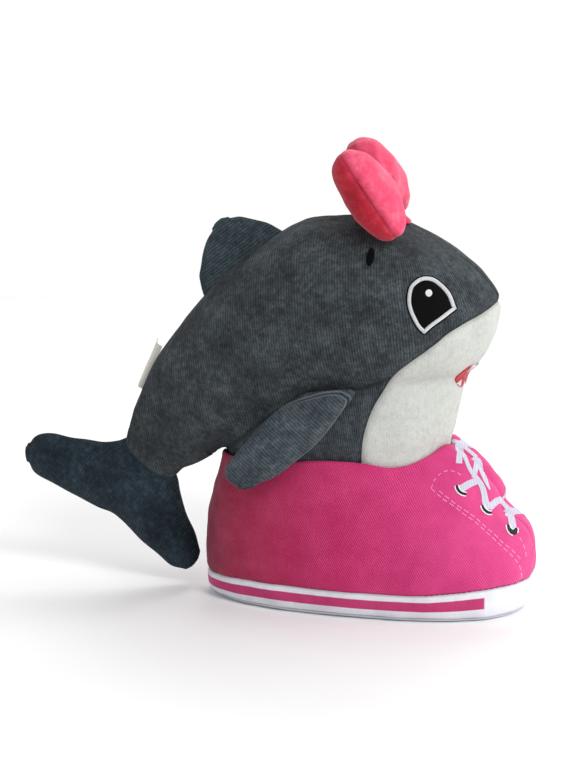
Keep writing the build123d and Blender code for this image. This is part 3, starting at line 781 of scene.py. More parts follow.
labels, d_seam = seam_pieces(shoe, shoe_labels, 0.8, 1.2)
Ps = coords(shoe)
level = Ps[:, 2] / fox_seam(Ps[:, 0])
wrap = np.where(Ps[:, 0] > 30, 46 * np.arctan2(Ps[:, 0] - 30, abs(Ps[:, 1]) + 2), Ps[:, 0] - 30)
wrap = np.where(Ps[:, 0] < -46, -76 - 44 * np.arctan2(-46 - Ps[:, 0], abs(Ps[:, 1]) + 2), wrap)
shoes = pieces_from(shoe, labels, {0: "outsole_cloth", 1: "foxing_cloth", 2: "upper_right", 3: "upper_left"}, d_seam, {"level": level, "rib": wrap})
for name, node, m, sl, extra in (
    ("outsole_cloth", "outsole", M_SOLE, "cloth_sole", ("pellet_bag",)),
    ("foxing_cloth", "foxing_band", M_FOX, "cloth_foxing", ("shoe_filling",)),
    ("upper_right", "shoe_upper_right", M_SHOE, "cloth_pink", ()),
    ("upper_left", "shoe_upper_left", M_SHOE, "cloth_pink", ()),
):
    o = give(shoes[name], m)
    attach(o, "body")
    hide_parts(node, *extra)
SHOE_BVH = bvh_of(list(shoes.values()))

# ----------------------------------------------------------------- fins
LENS = 0.62


def fin_mesh(name, frame3, rows, m, n, flat_root=True, puff=1.0, lip=0.5):
    """A pillow between two outlines.  rows are ((a, b), (a, b), half thickness) in the frame;
    returns the object."""
    origin, ex, ey, ez = (np.array(v, float) for v in frame3)
    t = np.array([(*a, *b, h) for a, b, h in rows])
    # close the tip on a small round end
    a, b, h = t[-1, :2], t[-1, 2:4], t[-1, 4]
    prev = (t[-2, :2] + t[-2, 2:4]) / 2
    mid = (a + b) / 2
    way = (mid - prev) / np.linalg.norm(mid - prev)
    half = (b - a) / 2
    r = np.linalg.norm(half)
    ends = []
    for q in (0.5, 0.8, 0.95, 1.0):
        k = math.sqrt(max(0, 1 - q * q))
        mm = mid + way * (r * 0.42 * q)
        ends.append((*(mm - half * k), *(mm + half * k), h * (0.25 + 0.75 * k) if k > 0 else 0.4))
    t = np.vstack([t, ends])
    if not flat_root:
        a, b, h = t[0, :2], t[0, 2:4], t[0, 4]
        nxt = (t[1, :2] + t[1, 2:4]) / 2
        mid = (a + b) / 2
        way = (mid - nxt) / np.linalg.norm(mid - nxt)
        half = (b - a) / 2
        r = np.linalg.norm(half)
        ends = []
        for q in (1.0, 0.95, 0.8, 0.5):
            k = math.sqrt(max(0, 1 - q * q))
            mm = mid + way * (r * 0.42 * q)
            ends.append((*(mm - half * k), *(mm + half * k), h * (0.25 + 0.75 * k) if k > 0 else 0.4))
        t = np.vstack([ends, t])
    t = smooth_rows(t, m)
    P = np.zeros((m, n, 3))
    T = 2 * np.pi * np.arange(n) / n
    u = -np.cos(T)
    side = np.sign(np.sin(T) + 1e-12)
    for i, (ax, ay, bx, by, h) in enumerate(t):
        prof = np.clip(1 - abs(u) ** 2.3, 0, 1) ** LENS * h * puff
        prof = np.maximum(prof, lip * np.clip(abs(np.sin(T)) * 6, 0, 1))
        la = (ax + bx) / 2 + (bx - ax) / 2 * u
        lb = (ay + by) / 2 + (by - ay) / 2 * u
        P[i] = origin + la[:, None] * ex + lb[:, None] * ey + (prof * side)[:, None] * ez
    o = mesh_object(name, *tube(P))
    return o


def split_fin(o, frame3, names, groove=0.35, width=1.0, rib=None, extra_label=None):
    origin, ex, ey, ez = (np.array(v, float) for v in frame3)
    h = lambda Q: (Q - origin) @ ez
    bm = bmesh.new()
    bm.from_mesh(o.data)
    bm.to_mesh(o.data)
    bm.free()
    labels, d = seam_pieces(o, lambda Q: np.where(h(Q) > 0, 0, 1), groove, width)
    P = coords(o)
    loc = np.stack([(P - origin) @ ex, (P - origin) @ ey], 1)
    return pieces_from(o, labels, {0: names[0], 1: names[1]}, d, {"rib": rib(loc)})


def roughen(o, amp, size, seed):
    P, n = coords(o), normals(o)
    set_coords(o, P + n * (amp * wobble(P, size, seed))[:, None])


DORSAL = ((-88.5, 0, 152.4), (0.795, 0, 0.607), (-0.607, 0, 0.795), (0, -1, 0))
DORSAL_ROWS = [
    ((-1.0, -3.6), (53.0, -4.2), 6.4),
    ((0.2, 0.0), (52.2, -0.6), 5.6),
    ((1.6, 3.2), (50.2, 3.6), 5.4),
    ((3.4, 6.4), (48.2, 7.0), 5.9),
    ((6.6, 9.4), (46.2, 9.8), 6.0),
    ((12.0, 14.4), (43.0, 14.0), 5.5),
    ((17.6, 17.8), (39.2, 17.4), 4.6),
    ((22.6, 19.6), (34.6, 19.8), 3.2),
]
fin = fin_mesh("dorsal_form", DORSAL, DORSAL_ROWS, 60, 96)
roughen(fin, 0.35, 16, 41)
dorsal = split_fin(fin, DORSAL, ("dorsal_cover_right", "dorsal_cover_left"), rib=lambda L: L[:, 1] * 1.0)

TAIL = ((0, 0, 0), (1, 0, 0), (0, 0, 1), (0, -1, 0))
TAIL_ROWS = [
    ((-180.6, 70.0), (-181.0, 58.0), 2.8),
    ((-176.6, 74.0), (-177.0, 52.6), 4.8),
    ((-167.5, 74.9), (-165.0, 46.6), 6.0),
    ((-155.0, 73.2), (-153.0, 41.0), 6.6),
    ((-143.5, 72.2), (-144.0, 37.4), 7.0),
    ((-133.6, 73.4), (-137.0, 34.8), 7.4),
    ((-122.6, 75.2), (-130.6, 29.6), 7.9),
    ((-104.5, 60.6), (-123.0, 22.6), 7.6),
    ((-100.6, 48.6), (-116.0, 16.6), 6.8),
    ((-97.8, 38.0), (-110.6, 12.0), 6.0),
    ((-93.6, 29.0), (-105.4, 8.6), 5.2),
    ((-90.4, 19.2), (-99.4, 7.6), 3.9),
]
fin = fin_mesh("tail_form", TAIL, TAIL_ROWS, 120, 96, flat_root=False)
roughen(fin, 0.45, 18, 43)
tail = split_fin(fin, TAIL, ("tail_cover_right", "tail_cover_left"), rib=lambda L: L[:, 0] * 0.86 - L[:, 1] * 0.5)

flare = math.radians(12.0)
AX = (-0.9873, -0.1588)
PECT_ROWS = [
    ((3.0, -0.8), (24.0, -1.8), 1.6),
    ((0.4, 0.6), (28.6, -0.4), 2.4),
    ((1.0, 2.2), (32.6, 1.6), 3.0),
    ((3.0, 4.8), (39.4, 4.6), 3.8),
    ((6.2, 8.2), (45.2, 8.4), 4.5),
    ((10.9, 13.2), (51.4, 13.2), 4.9),
    ((15.9, 18.2), (57.0, 18.2), 5.1),
    ((21.4, 23.2), (62.4, 23.2), 5.0),
    ((28.0, 28.0), (67.2, 28.0), 4.6),
    ((36.4, 32.8), (68.8, 32.6), 4.0),
    ((45.4, 36.9), (67.2, 36.6), 3.2),
    ((52.0, 38.8), (64.0, 38.6), 2.3),
]
pects = {}
for nm, sg in (("right", -1), ("left", 1)):
    e1 = Vector((AX[0], 0, AX[1]))
    hang = Vector((-AX[1] * math.cos(flare), sg * math.sin(flare), AX[0] * math.cos(flare)))
    out = Vector((0, sg, 0)) - hang * Vector((0, sg, 0)).dot(hang)
    ez = e1.cross(hang).normalized()
    if ez.y * sg < 0:
        ez = -ez
    fr = ((-1.0, sg * 41.6, 112.6), e1, hang, ez)
    fin = fin_mesh("pectoral_form_" + nm, fr, PECT_ROWS, 90, 96)
    P = coords(fin)
    down = (P - np.array(fr[0])) @ np.array(hang)
    # the root tucks in against the side of the body
    P[:, 1] -= sg * 2.6 * (1 - smooth(down, -1.0, 8.0))
    set_coords(fin, P)
    roughen(fin, 0.4, 15, 45)
    pects[nm] = split_fin(fin, fr, (f"pectoral_cover_outer_{nm}", f"pectoral_cover_inner_{nm}"), rib=lambda L: L[:, 0] * 0.75 + L[:, 1] * 0.66)

for group, m, sl in ((dorsal, M_DORSAL, "plush_grey"), (tail, M_TAIL_SHADED, "plush_grey"), (pects["right"], M_PECT, "plush_grey"), (pects["left"], M_PECT, "plush_grey")):
    for o in group.values():
        give(o, m)


for nm in ("right", "left"):
    o = dorsal[f"dorsal_cover_{nm}"]
    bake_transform(o)
    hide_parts(f"dorsal_fin_skin_{nm}", *(("dorsal_fin_filling",) if nm == "right" else ()))
    o = tail[f"tail_cover_{nm}"]
    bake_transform(o)
    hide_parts(f"tail_fin_skin_{nm}", *(("tail_fin_filling",) if nm == "right" else ()))
    sg = -1 if nm == "right" else 1
    for part in ("outer", "inner"):
        o = pects[nm][f"pectoral_cover_{part}_{nm}"]
        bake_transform(o)
        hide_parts(f"pectoral_{nm}_skin_{part}", *((f"pectoral_{nm}_filling",) if part == "outer" else ()))

# ----------------------------------------------------------------- the bow
BU, BF = np.array([-0.5707, 0, 0.8211]), np.array([0.8211, 0, 0.5707])
BOW_ROWS = [
    (3.0, 160.0, 172.0, 5.2),
    (6.0, 157.6, 175.4, 7.2),
    (10.0, 155.2, 179.2, 9.2),
    (15.0, 152.4, 183.8, 11.0),
    (21.0, 148.6, 188.2, 12.2),
    (27.0, 144.6, 190.8, 12.8),
    (32.0, 142.6, 191.2, 12.4),
    (36.0, 143.4, 189.8, 10.6),
    (38.8, 146.2, 186.8, 7.6),
    (40.4, 151.0, 181.8, 4.2),
    (40.9, 158.0, 175.0, 1.4),
]
MB, NB = ((130, 170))
bows = {}
for nm, sg in (("right", -1), ("left", 1)):
    rows = smooth_rows(BOW_ROWS, MB)
    P = np.zeros((MB, NB, 3))
    T = 2 * np.pi * np.arange(NB) / NB
    st, ct = np.sign(np.sin(T)) * abs(np.sin(T)) ** 0.93, np.sign(np.cos(T)) * abs(np.cos(T)) ** 0.93
    for i, (yy, lo, hi, th) in enumerate(rows):
        near_knot = math.exp(-yy / 11.0)
        pleat = 1 + 0.17 * near_knot * np.cos(7 * T + 0.6 * sg) + 0.05 * near_knot * np.cos(13 * T + 1.0)
        away = min(1.0, max(0.0, (yy - 8.5) / 14.0))
        cf = 115.9 - 0.08 * sg * yy + 1.2 * away
        if sg > 0:
            lo, hi = lo + 9.0 * away, hi + 4.4 * away
        cu = (lo + hi) / 2
        hh = (hi - lo) / 2
        hump = 1 + 0.05 * np.cos(3 * T + 1.2) * math.exp(-((yy - 20) / 12) ** 2)
        ringu = cu + hh * ct * pleat
        ringf = cf + th * st * pleat * hump
        P[i] = ringu[:, None] * BU + ringf[:, None] * BF
        P[i, :, 1] = sg * (yy + 0.9 * np.exp(-((T - np.pi / 2) ** 2)) * smooth(yy, 20, 36))
    o = mesh_object("bow_form_" + nm, *tube(P))
    Q, n = coords(o), normals(o)
    r = abs(Q[:, 1])
    # shallow creases that run out from the knot
    ang = np.arctan2(Q @ BF - 115.9, Q @ BU - 166.5)
    crease = -0.9 * np.exp(-((r - 13) / 9.0) ** 2) * np.clip(np.cos(5 * ang + 0.8 * sg + 0.08 * r), 0, 1) ** 3
    Q = Q + n * (crease + 0.45 * wobble(Q, 17, 51 + sg) + 0.2 * wobble(Q, 7, 53))[:, None]
    set_coords(o, Q)
    fmid = lambda A: A @ BF - (117.1 - 0.08 * A[:, 1])
    bm = bmesh.new()
    bm.from_mesh(o.data)
    cut(bm, fmid, lambda A: abs(A[:, 1]) > 9.0)
    bm.to_mesh(o.data)
    bm.free()
    # the rim seam only shows out towards the loop's end
    labels, d = seam_pieces(o, lambda A: np.where(fmid(A) > 0, 0, 1), 0.45, 1.6)
    Q = coords(o)
    # painted shade in the pleats near the knot, and the front half that the velvet paints lit while the rear is painted
    # in shade
    fold_shade = np.clip(np.exp(-((abs(Q[:, 1]) - 8) / 6.0) ** 2) * np.clip(np.cos(7 * np.arctan2(Q @ BF - 115.9, Q @ BU - 166.5) + np.pi), 0, 1) * 0.6, 0, 1)
    got = pieces_from(o, labels, {0: f"bow_front_{nm}", 1: f"bow_rear_{nm}"}, d, {"fold_shade": fold_shade, "front": smooth(fmid(Q), -3.0, 5.0)})
    for p in got.values():
        give(p, M_BOW)
        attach(p, "bow")
    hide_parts(f"bow_cover_{nm}", f"bow_filling_{nm}")
    bows[nm] = got

# gathered knot: a short wrapped band with folds running round it
MK, NK = 60, 120
P = np.zeros((MK, NK, 3))
T = 2 * np.pi * np.arange(NK) / NK
for i in range(MK):
    v = i / (MK - 1) * 2 - 1
    yy = 7.6 * v
    k = (1 - abs(v) ** 3.2) ** 0.45 if abs(v) < 1 else 0.0
    k = 0.62 + 0.38 * k
    ridge = 1 + 0.045 * math.cos(v * 9.0)
    swell = 1 + 0.05 * np.cos(2 * T + 2.2 * v)
    ru = (165.8 + 10.2 * k * ridge * np.cos(T) * swell)
    rf = (116.6 + 9.8 * k * ridge * np.sin(T) * swell)
    P[i] = ru[:, None] * BU + rf[:, None] * BF
    P[i, :, 1] = yy + 0.5 * np.sin(3 * T)
knot = mesh_object("bow_knot_wrap", *tube(P))
roughen(knot, 0.35, 7, 61)
Q = coords(knot)
attr(knot, "seam", np.full(len(Q), 9.0))
# painted light and shade: the knot's front is painted lighter, with painted shade in the folds round it
attr(knot, "front", smooth(Q @ BF - 116.6, -6.0, 4.0))
attr(knot, "fold_shade", np.clip(0.5 - 0.5 * np.cos(Q[:, 1] / 7.6 * 9.0 + np.pi), 0, 1) * 0.35)
give(knot, M_BOW)
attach(knot, "bow")
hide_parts("bow_knot")

# tack: the twist of velvet and thread that goes from the knot down to the head
MT, NT = 24, 48
P = np.zeros((MT, NT, 3))
T = 2 * np.pi * np.arange(NT) / NT
for i in range(MT):
    v = i / (MT - 1)
    r = 5.4 - 1.6 * math.sin(math.pi * min(1, v * 1.1)) + 1.4 * v * v
    cx, cz = 8.6 + 2.6 * v, 199.5 - 10.3 * v
    tw = r * (1 + 0.12 * np.cos(5 * T + 2.5 * v))
    P[i, :, 0] = cx + tw * np.cos(T)
    P[i, :, 1] = tw * 1.1 * np.sin(T)
    P[i, :, 2] = cz
tack = mesh_object("bow_tack", *tube(P))
Q = coords(tack)
attr(tack, "seam", np.full(len(Q), 9.0))
# painted shade: the tack takes mostly the dark rear colour and some fold shade
attr(tack, "front", np.full(len(Q), 0.4))
attr(tack, "fold_shade", np.full(len(Q), 0.2))
give(tack, M_BOW)
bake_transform(tack)

# ----------------------------------------------------------------- stitched patches
def cast_view(bvh, ab):
    o, d = ray(ab[0], ab[1])
    hit, n, _, _ = bvh.ray_cast(o, d)
    return (None, None) if hit is None else (np.array(hit) / MM, np.array(n))


def cast_front(bvh, yz):
    hit, n, _, _ = bvh.ray_cast(Vector((0.12, yz[0] * MM, yz[1] * MM)), Vector((-1, 0, 0)))
    return (None, None) if hit is None else (np.array(hit) / MM, np.array(n))


def mirror_on(bvh, p):
    hit, n, _, _ = bvh.find_nearest(Vector((p[0] * MM, -p[1] * MM, p[2] * MM)))
    return np.array(hit) / MM, np.array(n)


def lay(name, AB, H, how, bvh, material, closed=True, mirror=False, extra=None, body="body", jump=6.0):
    """A patch laid on a surface: AB (m, n, 2) in the drawing plane or (y, z), H heights in mm."""
    m, n = H.shape
    P = np.zeros((m, n, 3))
    ok = np.ones((m, n), bool)
    for i in range(m):
        for j in range(n):
            p, nn = how(bvh, AB[i, j])
            if p is None:
                ok[i, j] = False
                continue
            if mirror:
                p, nn = mirror_on(bvh, p)
            P[i, j] = p + nn * H[i, j]
    F = []
    for i in range(m - 1):
        for j in range(n if closed else n - 1):
            k = (j + 1) % n
            if ok[i, j] and ok[i, k] and ok[i + 1, j] and ok[i + 1, k]:
                q = (i * n + j, i * n + k, (i + 1) * n + k, (i + 1) * n + j)
                if max(np.linalg.norm(P[i, j] - P[i + 1, j]), np.linalg.norm(P[i, j] - P[i, k])) < jump:
                    F.append(q[::-1] if mirror else q)
    if not F:
        return None
    me = bpy.data.meshes.new(name)
    me.from_pydata((P.reshape(-1, 3) * MM).tolist(), [], F)
    me.polygons.foreach_set("use_smooth", [True] * len(me.polygons))
    o = bpy.data.objects.new(name, me)
    scene.collection.objects.link(o)
    for key, val in (extra or {}).items():
        attr(o, key, np.broadcast_to(val, H.shape).reshape(-1))
    bm = bmesh.new()
    bm.from_mesh(me)
    loose = [v for v in bm.verts if not v.link_faces]
    bmesh.ops.delete(bm, geom=loose, context="VERTS")
    f0 = bm.faces[:][0]
    # faces look out of the surface
    mid = f0.calc_center_median()
    _, nn, _, _ = bvh.find_nearest(mid)
    f0.normal_update()
    if f0.normal.dot(nn) < 0:
        bmesh.ops.reverse_faces(bm, faces=bm.faces)
    bm.to_mesh(me)
    bm.free()
    give(o, material)
    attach(o, body)
    return o


def around(points, n, corners=()):
    """n points round a closed outline, rounded between its corners."""
    pts = [np.array(p, float) for p in points]
    if corners:
        k = len(pts)
        cs = sorted(corners)
        out = []
        lens = []
        for a, b in zip(cs, cs[1:] + [cs[0] + k]):
            seg = [pts[i % k] for i in range(a, b + 1)]
            d = smooth_rows(seg, 60) if len(seg) > 2 else np.linspace(seg[0], seg[1], 60)
            out.append(d)
            lens.append(np.linalg.norm(np.diff(d, axis=0), axis=1).sum())
        tot = sum(lens)
        res = []
        for d, L in zip(out, lens):
            q = max(3, int(round(n * L / tot)))
            s = np.concatenate([[0], np.cumsum(np.linalg.norm(np.diff(d, axis=0), axis=1))])
            w = np.linspace(0, s[-1], q, endpoint=False)
            res.append(np.stack([np.interp(w, s, d[:, i]) for i in range(2)], 1))
        return np.vstack(res)
    loop = pts[-2:] + pts + pts[:2]
    d = smooth_rows(loop, len(loop) * 12)
    i0, i1 = 2 * 12, 2 * 12 + len(pts) * 12
    s = np.concatenate([[0], np.cumsum(np.linalg.norm(np.diff(d, axis=0), axis=1))])
    u = np.linspace(0, len(loop) - 1, len(loop) * 12)
    s0, s1 = np.interp(2, u, s), np.interp(2 + len(pts), u, s)
    w = np.linspace(s0, s1, n, endpoint=False)
    return np.stack([np.interp(w, s, d[:, i]) for i in range(2)], 1)


def shrink(loop, by):
    """Offset of a closed outline; by > 0 goes in."""
    a, b = np.roll(loop, 2, 0), np.roll(loop, -2, 0)
    t = b - a
    t /= np.linalg.norm(t, axis=1, keepdims=True) + 1e-9
    area = 0.5 * np.sum(loop[:, 0] * np.roll(loop[:, 1], -1) - np.roll(loop[:, 0], -1) * loop[:, 1])
    nrm = np.stack([-t[:, 1], t[:, 0]], 1) * (1 if area > 0 else -1)
    out = loop + nrm * np.asarray(by).reshape(-1, 1) if np.ndim(by) else loop + nrm * by
    for _ in range(2):
        out = out * 0.5 + (np.roll(out, 1, 0) + np.roll(out, -1, 0)) * 0.25
    return out


def dome(t, h, edge=-0.25):
    return edge + (h - edge) * np.clip(np.sin(np.pi * np.clip(t, 0, 1)), 0, 1) ** 0.45


EYE = [(65.25, 25.25), (61.9, 28.55), (59.45, 32.8), (57.65, 37), (56.75, 41.3), (57.05, 46.15), (58.25, 49.75), (60.65, 52.2), (63.1, 53.7), (66.15, 54.3), (69.75, 53.7), (72.75, 51.9), (75.85, 49.15), (78.25, 46.15), (79.75, 43.1), (81, 39.5), (81.6, 38), (77.65, 35), (74, 32.2), (69.75, 29.15)]
eye = around(EYE, 150, (0, 16))
inner = shrink(eye, 1.95)
edge_out = shrink(eye, -0.7)
for nm, mir in (("right", False), ("left", True)):
    n = len(eye)
    s_len = np.concatenate([[0], np.cumsum(np.linalg.norm(np.diff(eye, axis=0), axis=1))])
    t = np.linspace(0, 1, 5)[:, None]
    AB = edge_out[None] * (1 - t[..., None]) + shrink(eye, 0.4)[None] * t[..., None]
    lay(f"eye_edge_{nm}", AB, np.broadcast_to(dome(t, 0.42), (5, n)).copy(), cast_view, BODY_BVH, M_BLACK, mirror=mir, extra={"thread": s_len[None]})
    t = np.linspace(0, 1, 9)[:, None]
    AB = eye[None] * (1 - t[..., None]) + shrink(eye, 2.15)[None] * t[..., None]
    o = lay(f"eye_rim_stitch_{nm}", AB, np.broadcast_to(dome(t, 0.85, -0.1), (9, n)).copy(), cast_view, BODY_BVH, M_WHITE, mirror=mir, extra={"thread": s_len[None]})
    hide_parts(f"eye_rim_{nm}")
    cen = inner.mean(0)
    t = np.linspace(0, 1, 16)[:, None]
    AB = inner[None] * (1 - t[..., None]) + cen[None, None] * t[..., None]
    H = 0.15 + 0.5 * np.clip(t * 6, 0, 1) ** 0.5 * np.ones((1, n))
    o = lay(f"eye_fill_stitch_{nm}", AB, H, cast_view, BODY_BVH, M_BLACK, mirror=mir, extra={"thread": AB[..., 0] * 0.9 + AB[..., 1] * 0.42})
    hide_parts(f"eye_fill_{nm}")
    gc = np.array([(67.45, 45.85)][0])
    T = 2 * np.pi * np.arange(32) / 32
    ringg = gc + np.stack([1.75 * np.cos(T), 1.85 * np.sin(T)], 1)
    t = np.linspace(0, 1, 8)[:, None]
    AB = ringg[None] * (1 - t[..., None]) + gc[None, None] * t[..., None]
    H = 0.6 + 0.4 * np.clip(t * 3, 0, 1) ** 0.5 * np.ones((1, 32))
    o = lay(f"eye_glint_stitch_{nm}", AB, H, cast_view, BODY_BVH, M_GLINT, mirror=mir, extra={"thread": AB[..., 0]})
    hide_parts(f"eye_glint_{nm}")
    bc = np.array([(38.45, 64)][0])
    lean = math.radians(-10)
    T = 2 * np.pi * np.arange(60) / 60
    e = np.stack([2.05 * np.sin(T), 4.8 * np.cos(T)], 1)
    e = e @ np.array([[math.cos(lean), math.sin(lean)], [-math.sin(lean), math.cos(lean)]])
    t = np.linspace(0, 1, 9)[:, None]
    AB = (bc + e)[None] * (1 - t[..., None]) + bc[None, None] * t[..., None]
    H = -0.1 + 1.1 * np.clip(t * 4, 0, 1) ** 0.5 * np.ones((1, 60))
    o = lay(f"brow_stitch_{nm}", AB, H, cast_view, BODY_BVH, M_BLACK, mirror=mir, extra={"thread": AB[..., 1]})
    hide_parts(f"brow_{nm}")

MOUTH = [(-17.0, 117.6), (-16.2, 122.4), (-12, 122.4), (-6, 121.6), (0, 121.2), (6, 121.6), (12, 122.4), (16.2, 122.4), (17.0, 117.6), (15.2, 114.2), (10.4, 110.8), (5, 109.5), (0, 109.1), (-5, 109.5), (-10.4, 110.8), (-15.2, 114.2)]
mouth = around(MOUTH, 160)
mc = np.array([0, 116.4])
t = np.linspace(0, 1, 18)[:, None]
AB = mouth[None] * (1 - t[..., None]) + (mc + (mouth - mc) * np.array([0.9, 0.0]))[None] * t[..., None]
H = -0.15 + 0.6 * np.clip(t * 5, 0, 1) ** 0.5 * np.ones((1, 160))
o = lay("mouth_stitch", AB, H, cast_front, BODY_BVH, M_RED, extra={"thread": AB[..., 0]})
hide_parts("mouth_red")
TEETH = [
    [(-14.2, 122.6), (-8.6, 122.1), (-11.4, 118.4)], [(8.6, 122.1), (14.2, 122.6), (11.4, 118.4)], [(-3.4, 121.6), (3.4, 121.6), (0, 117.6)],
    [(-14.2, 113.2), (-9.8, 111.0), (-11.0, 114.8)], [(9.8, 111.0), (14.2, 113.2), (11.0, 114.8)],
    [(-6.4, 109.9), (-2.0, 109.5), (-4.4, 113.0)], [(2.0, 109.5), (6.4, 109.9), (4.4, 113.0)],
]
for i, tri in enumerate(TEETH):
    loop = np.vstack([np.linspace(tri[a], tri[(a + 1) % 3], 14, endpoint=False) for a in range(3)])
    cen = loop.mean(0)
    t = np.linspace(0, 1, 8)[:, None]
    AB = loop[None] * (1 - t[..., None]) + cen[None, None] * t[..., None]
    H = 0.35 + 0.5 * np.clip(t * 3, 0, 1) ** 0.5 * np.ones((1, len(loop)))
    o = lay(f"tooth_stitch_{i}", AB, H, cast_front, BODY_BVH, M_WHITE, extra={"thread": AB[..., 0]})
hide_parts("mouth_teeth")

# ----------------------------------------------------------------- care label
LT, LL = np.array([-110.6, 0, 124.9]), np.array([-122.4, 0, 100.6])
dn = (LL - LT) / np.linalg.norm(LL - LT)
outw = np.array([dn[2], 0, -dn[0]])
m, n = 34, 20
P = np.zeros((m, n, 3))
RIB = np.zeros((m, n))
for i in range(m):
    for j in range(n):
        v = i / (m - 1) * 2 - 1
        u = -2.4 + 14.2 * j / (n - 1)
        lean = math.radians(58.0 + 3.0 * v) + 0.030 * max(0, u) * (1 + 0.2 * v)
        d = outw * math.cos(lean) + np.array([0, 1, 0]) * math.sin(lean)
        if u < 0:
            d = outw
        P[i, j] = (LT + LL) / 2 + dn * (12.5 * v) + d * u + outw * (0.25 * math.sin(2.4 * v + 0.4) * max(0, u) / 12)
        RIB[i, j] = 12.5 * v
me = bpy.data.meshes.new("care_label_tape")
me.from_pydata((P.reshape(-1, 3) * MM).tolist(), [], [(i * n + j, i * n + j + 1, (i + 1) * n + j + 1, (i + 1) * n + j) for i in range(m - 1) for j in range(n - 1)])
me.polygons.foreach_set("use_smooth", [True] * len(me.polygons))
tape = bpy.data.objects.new("care_label_tape", me)
scene.collection.objects.link(tape)
attr(tape, "rib", RIB.reshape(-1))
give(tape, M_LABEL)
mid = (LT + LL) / 2
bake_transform(tape)
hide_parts("care_label")


# ----------------------------------------------------------------- printing on the sneaker
def strip(name, line, width, material, h=0.1, cols=6, both=True, bvh=None, taper=None, how=None):
    """Print along a drawing-plane line.  width in mm, or one width per point."""
    pts = np.array(line, float)
    w = np.full(len(pts), width) if np.ndim(width) == 0 else np.array(width, float)
    full = smooth_rows(np.column_stack([pts, w]), max(2, 1 + int(np.linalg.norm(np.diff(pts, axis=0), axis=1).sum() / 0.6))) if len(pts) > 2 else np.linspace(np.append(pts[0], w[0]), np.append(pts[1], w[1]), max(2, 1 + int(np.linalg.norm(pts[1] - pts[0]) / 0.6)))
    q, ww = full[:, :2], full[:, 2]
    t = np.gradient(q, axis=0)
    t /= np.linalg.norm(t, axis=1, keepdims=True) + 1e-9
    nrm = np.stack([-t[:, 1], t[:, 0]], 1)
    f = np.linspace(-0.5, 0.5, cols)
    AB = q[:, None] + nrm[:, None] * (ww[:, None] * f[None])[..., None]
    across = 0.5 - abs(f)
    H = np.full(AB.shape[:2], h)
    outs = []
    for nm, mir in {True: (("right", False), ("left", True)), False: (("right", False),), "left": (("left", True),)}[both]:
        o = lay(f"{name}_{nm}", AB, H, how or cast_view, bvh or SHOE_BVH, material, closed=False, mirror=mir, extra={"across": across[None]}, jump=6.0 if name.startswith("print_lace_d") else 2.6)
        if o:
            outs.append(o)
    return outs


LACES = [
    ("lace_g", [(79.5, -27.75), (82.5, -28.8), (87.75, -32.9), (91.75, -36.25)], 1.7, 0.10),
    ("lace_e", [(79.4, -27.6), (82.45, -30.5), (83.15, -33.5), (82.85, -36.25), (82.7, -39.2)], [1.4, 2.6, 3.0, 3.0, 3.2], 0.12),
    ("lace_f", [(83.15, -30.5), (84.75, -34.25), (86.4, -38), (88.5, -42.75), (91.75, -47)], 1.9, 0.16),
    ("lace_h", [(91.65, -36.3), (91.25, -40), (90.65, -43.5), (90.25, -46.5)], [1.8, 2.4, 2.5, 2.5], 0.10),
    ("lace_i", [(91.95, -36.8), (93.25, -40.75), (94.55, -44.25), (96.25, -48.25), (98.15, -52.4)], [1.6, 2.1, 2.2, 1.9, 0.8], 0.12),
    ("lace_a", [(83.55, -52.1), (85.75, -50.7), (88.25, -49.3), (91.85, -47.8)], [3.5, 3.7, 3.6, 3.4], 0.14),
    ("lace_b", [(90.55, -45.3), (93.05, -48.8), (94.45, -51.5), (95.35, -55), (95.95, -58.5), (97.55, -62.2)], [2.0, 2.6, 2.8, 3.0, 3.4, 3.6], 0.18),
    ("lace_c", [(97.75, -61.3), (99.75, -59.6), (101.95, -57.8), (103.75, -57.7)], [3.6, 3.5, 3.3, 1.8], 0.14),
    ("lace_d", [(102.55, -56.5), (104.95, -59.3), (107.05, -61.9), (108.35, -65), (109.15, -68.2), (109.75, -71.7)], [1.6, 2.0, 2.6, 3.2, 3.5, 3.4], 0.18),
    ("lace_c_far", [(97.75, -61.3), (99.25, -60.1), (100.55, -59)], [3.6, 3.5, 3.3], 0.14),
    ("lace_d_far", [(107.85, -63.8), (108.35, -65.5), (109.15, -68.2), (109.75, -71.7)], [2.8, 3.2, 3.5, 3.4], 0.18),
]
for name, line, w, h in LACES:
    strip("print_" + name, line, w, M_LACE, h, both="left" if name.endswith("_far") else name not in ("lace_g", "lace_h", "lace_i", "lace_c", "lace_d"))


def cast_toe(bvh, yz):
    p, n = cast_front(bvh, yz)
    return (None, None) if p is None or p[0] < 30 else (p, n)


# where the laces cross the centre-front valley, in (y, z)
CROSSINGS = [
    ("lace_top", [(-12.5, 78.7), (-8, 78.8), (-3, 78.5), (0, 78.3), (3, 78.5), (8, 78.8), (12.5, 78.7)], [2.2, 2.8, 2.6, 2.5, 2.6, 2.8, 2.2], 0.13),
    ("lace_upper", [(-13, 70.6), (-9.5, 71.9), (-6, 72.2), (-2, 71.7), (1.5, 71.6), (4.6, 72.6)], [1.8, 1.9, 2.0, 2.0, 2.0, 2.2], 0.11),
    ("lace_middle", [(-10.2, 69.3), (-7.6, 69.5), (-4.4, 68.9), (-1.2, 68.2), (1.6, 69.0), (3.4, 70.6), (4.8, 72.4)], [3.6, 4.6, 3.8, 2.6, 2.3, 2.2, 2.2], 0.12),
    ("lace_lower", [(-13, 55.6), (-9, 55), (-5, 53.7), (0, 51.9), (4, 50.4), (6.4, 49.6)], [3.2, 3.4, 3.2, 3.0, 2.8, 2.6], 0.15),
    ("lace_lower_far", [(17.4, 54.8), (14, 55.3), (10, 54.6), (6, 53), (2, 51.4), (0, 50.8)], [3.2, 2.8, 2.3, 2.2, 2.2, 2.0], 0.15),
    ("lace_toe", [(-8.5, 46.1), (-4, 46.3), (0, 45.9), (4, 46.3), (8.5, 46.1)], [2.4, 2.3, 2.1, 2.3, 2.4], 0.17),
]
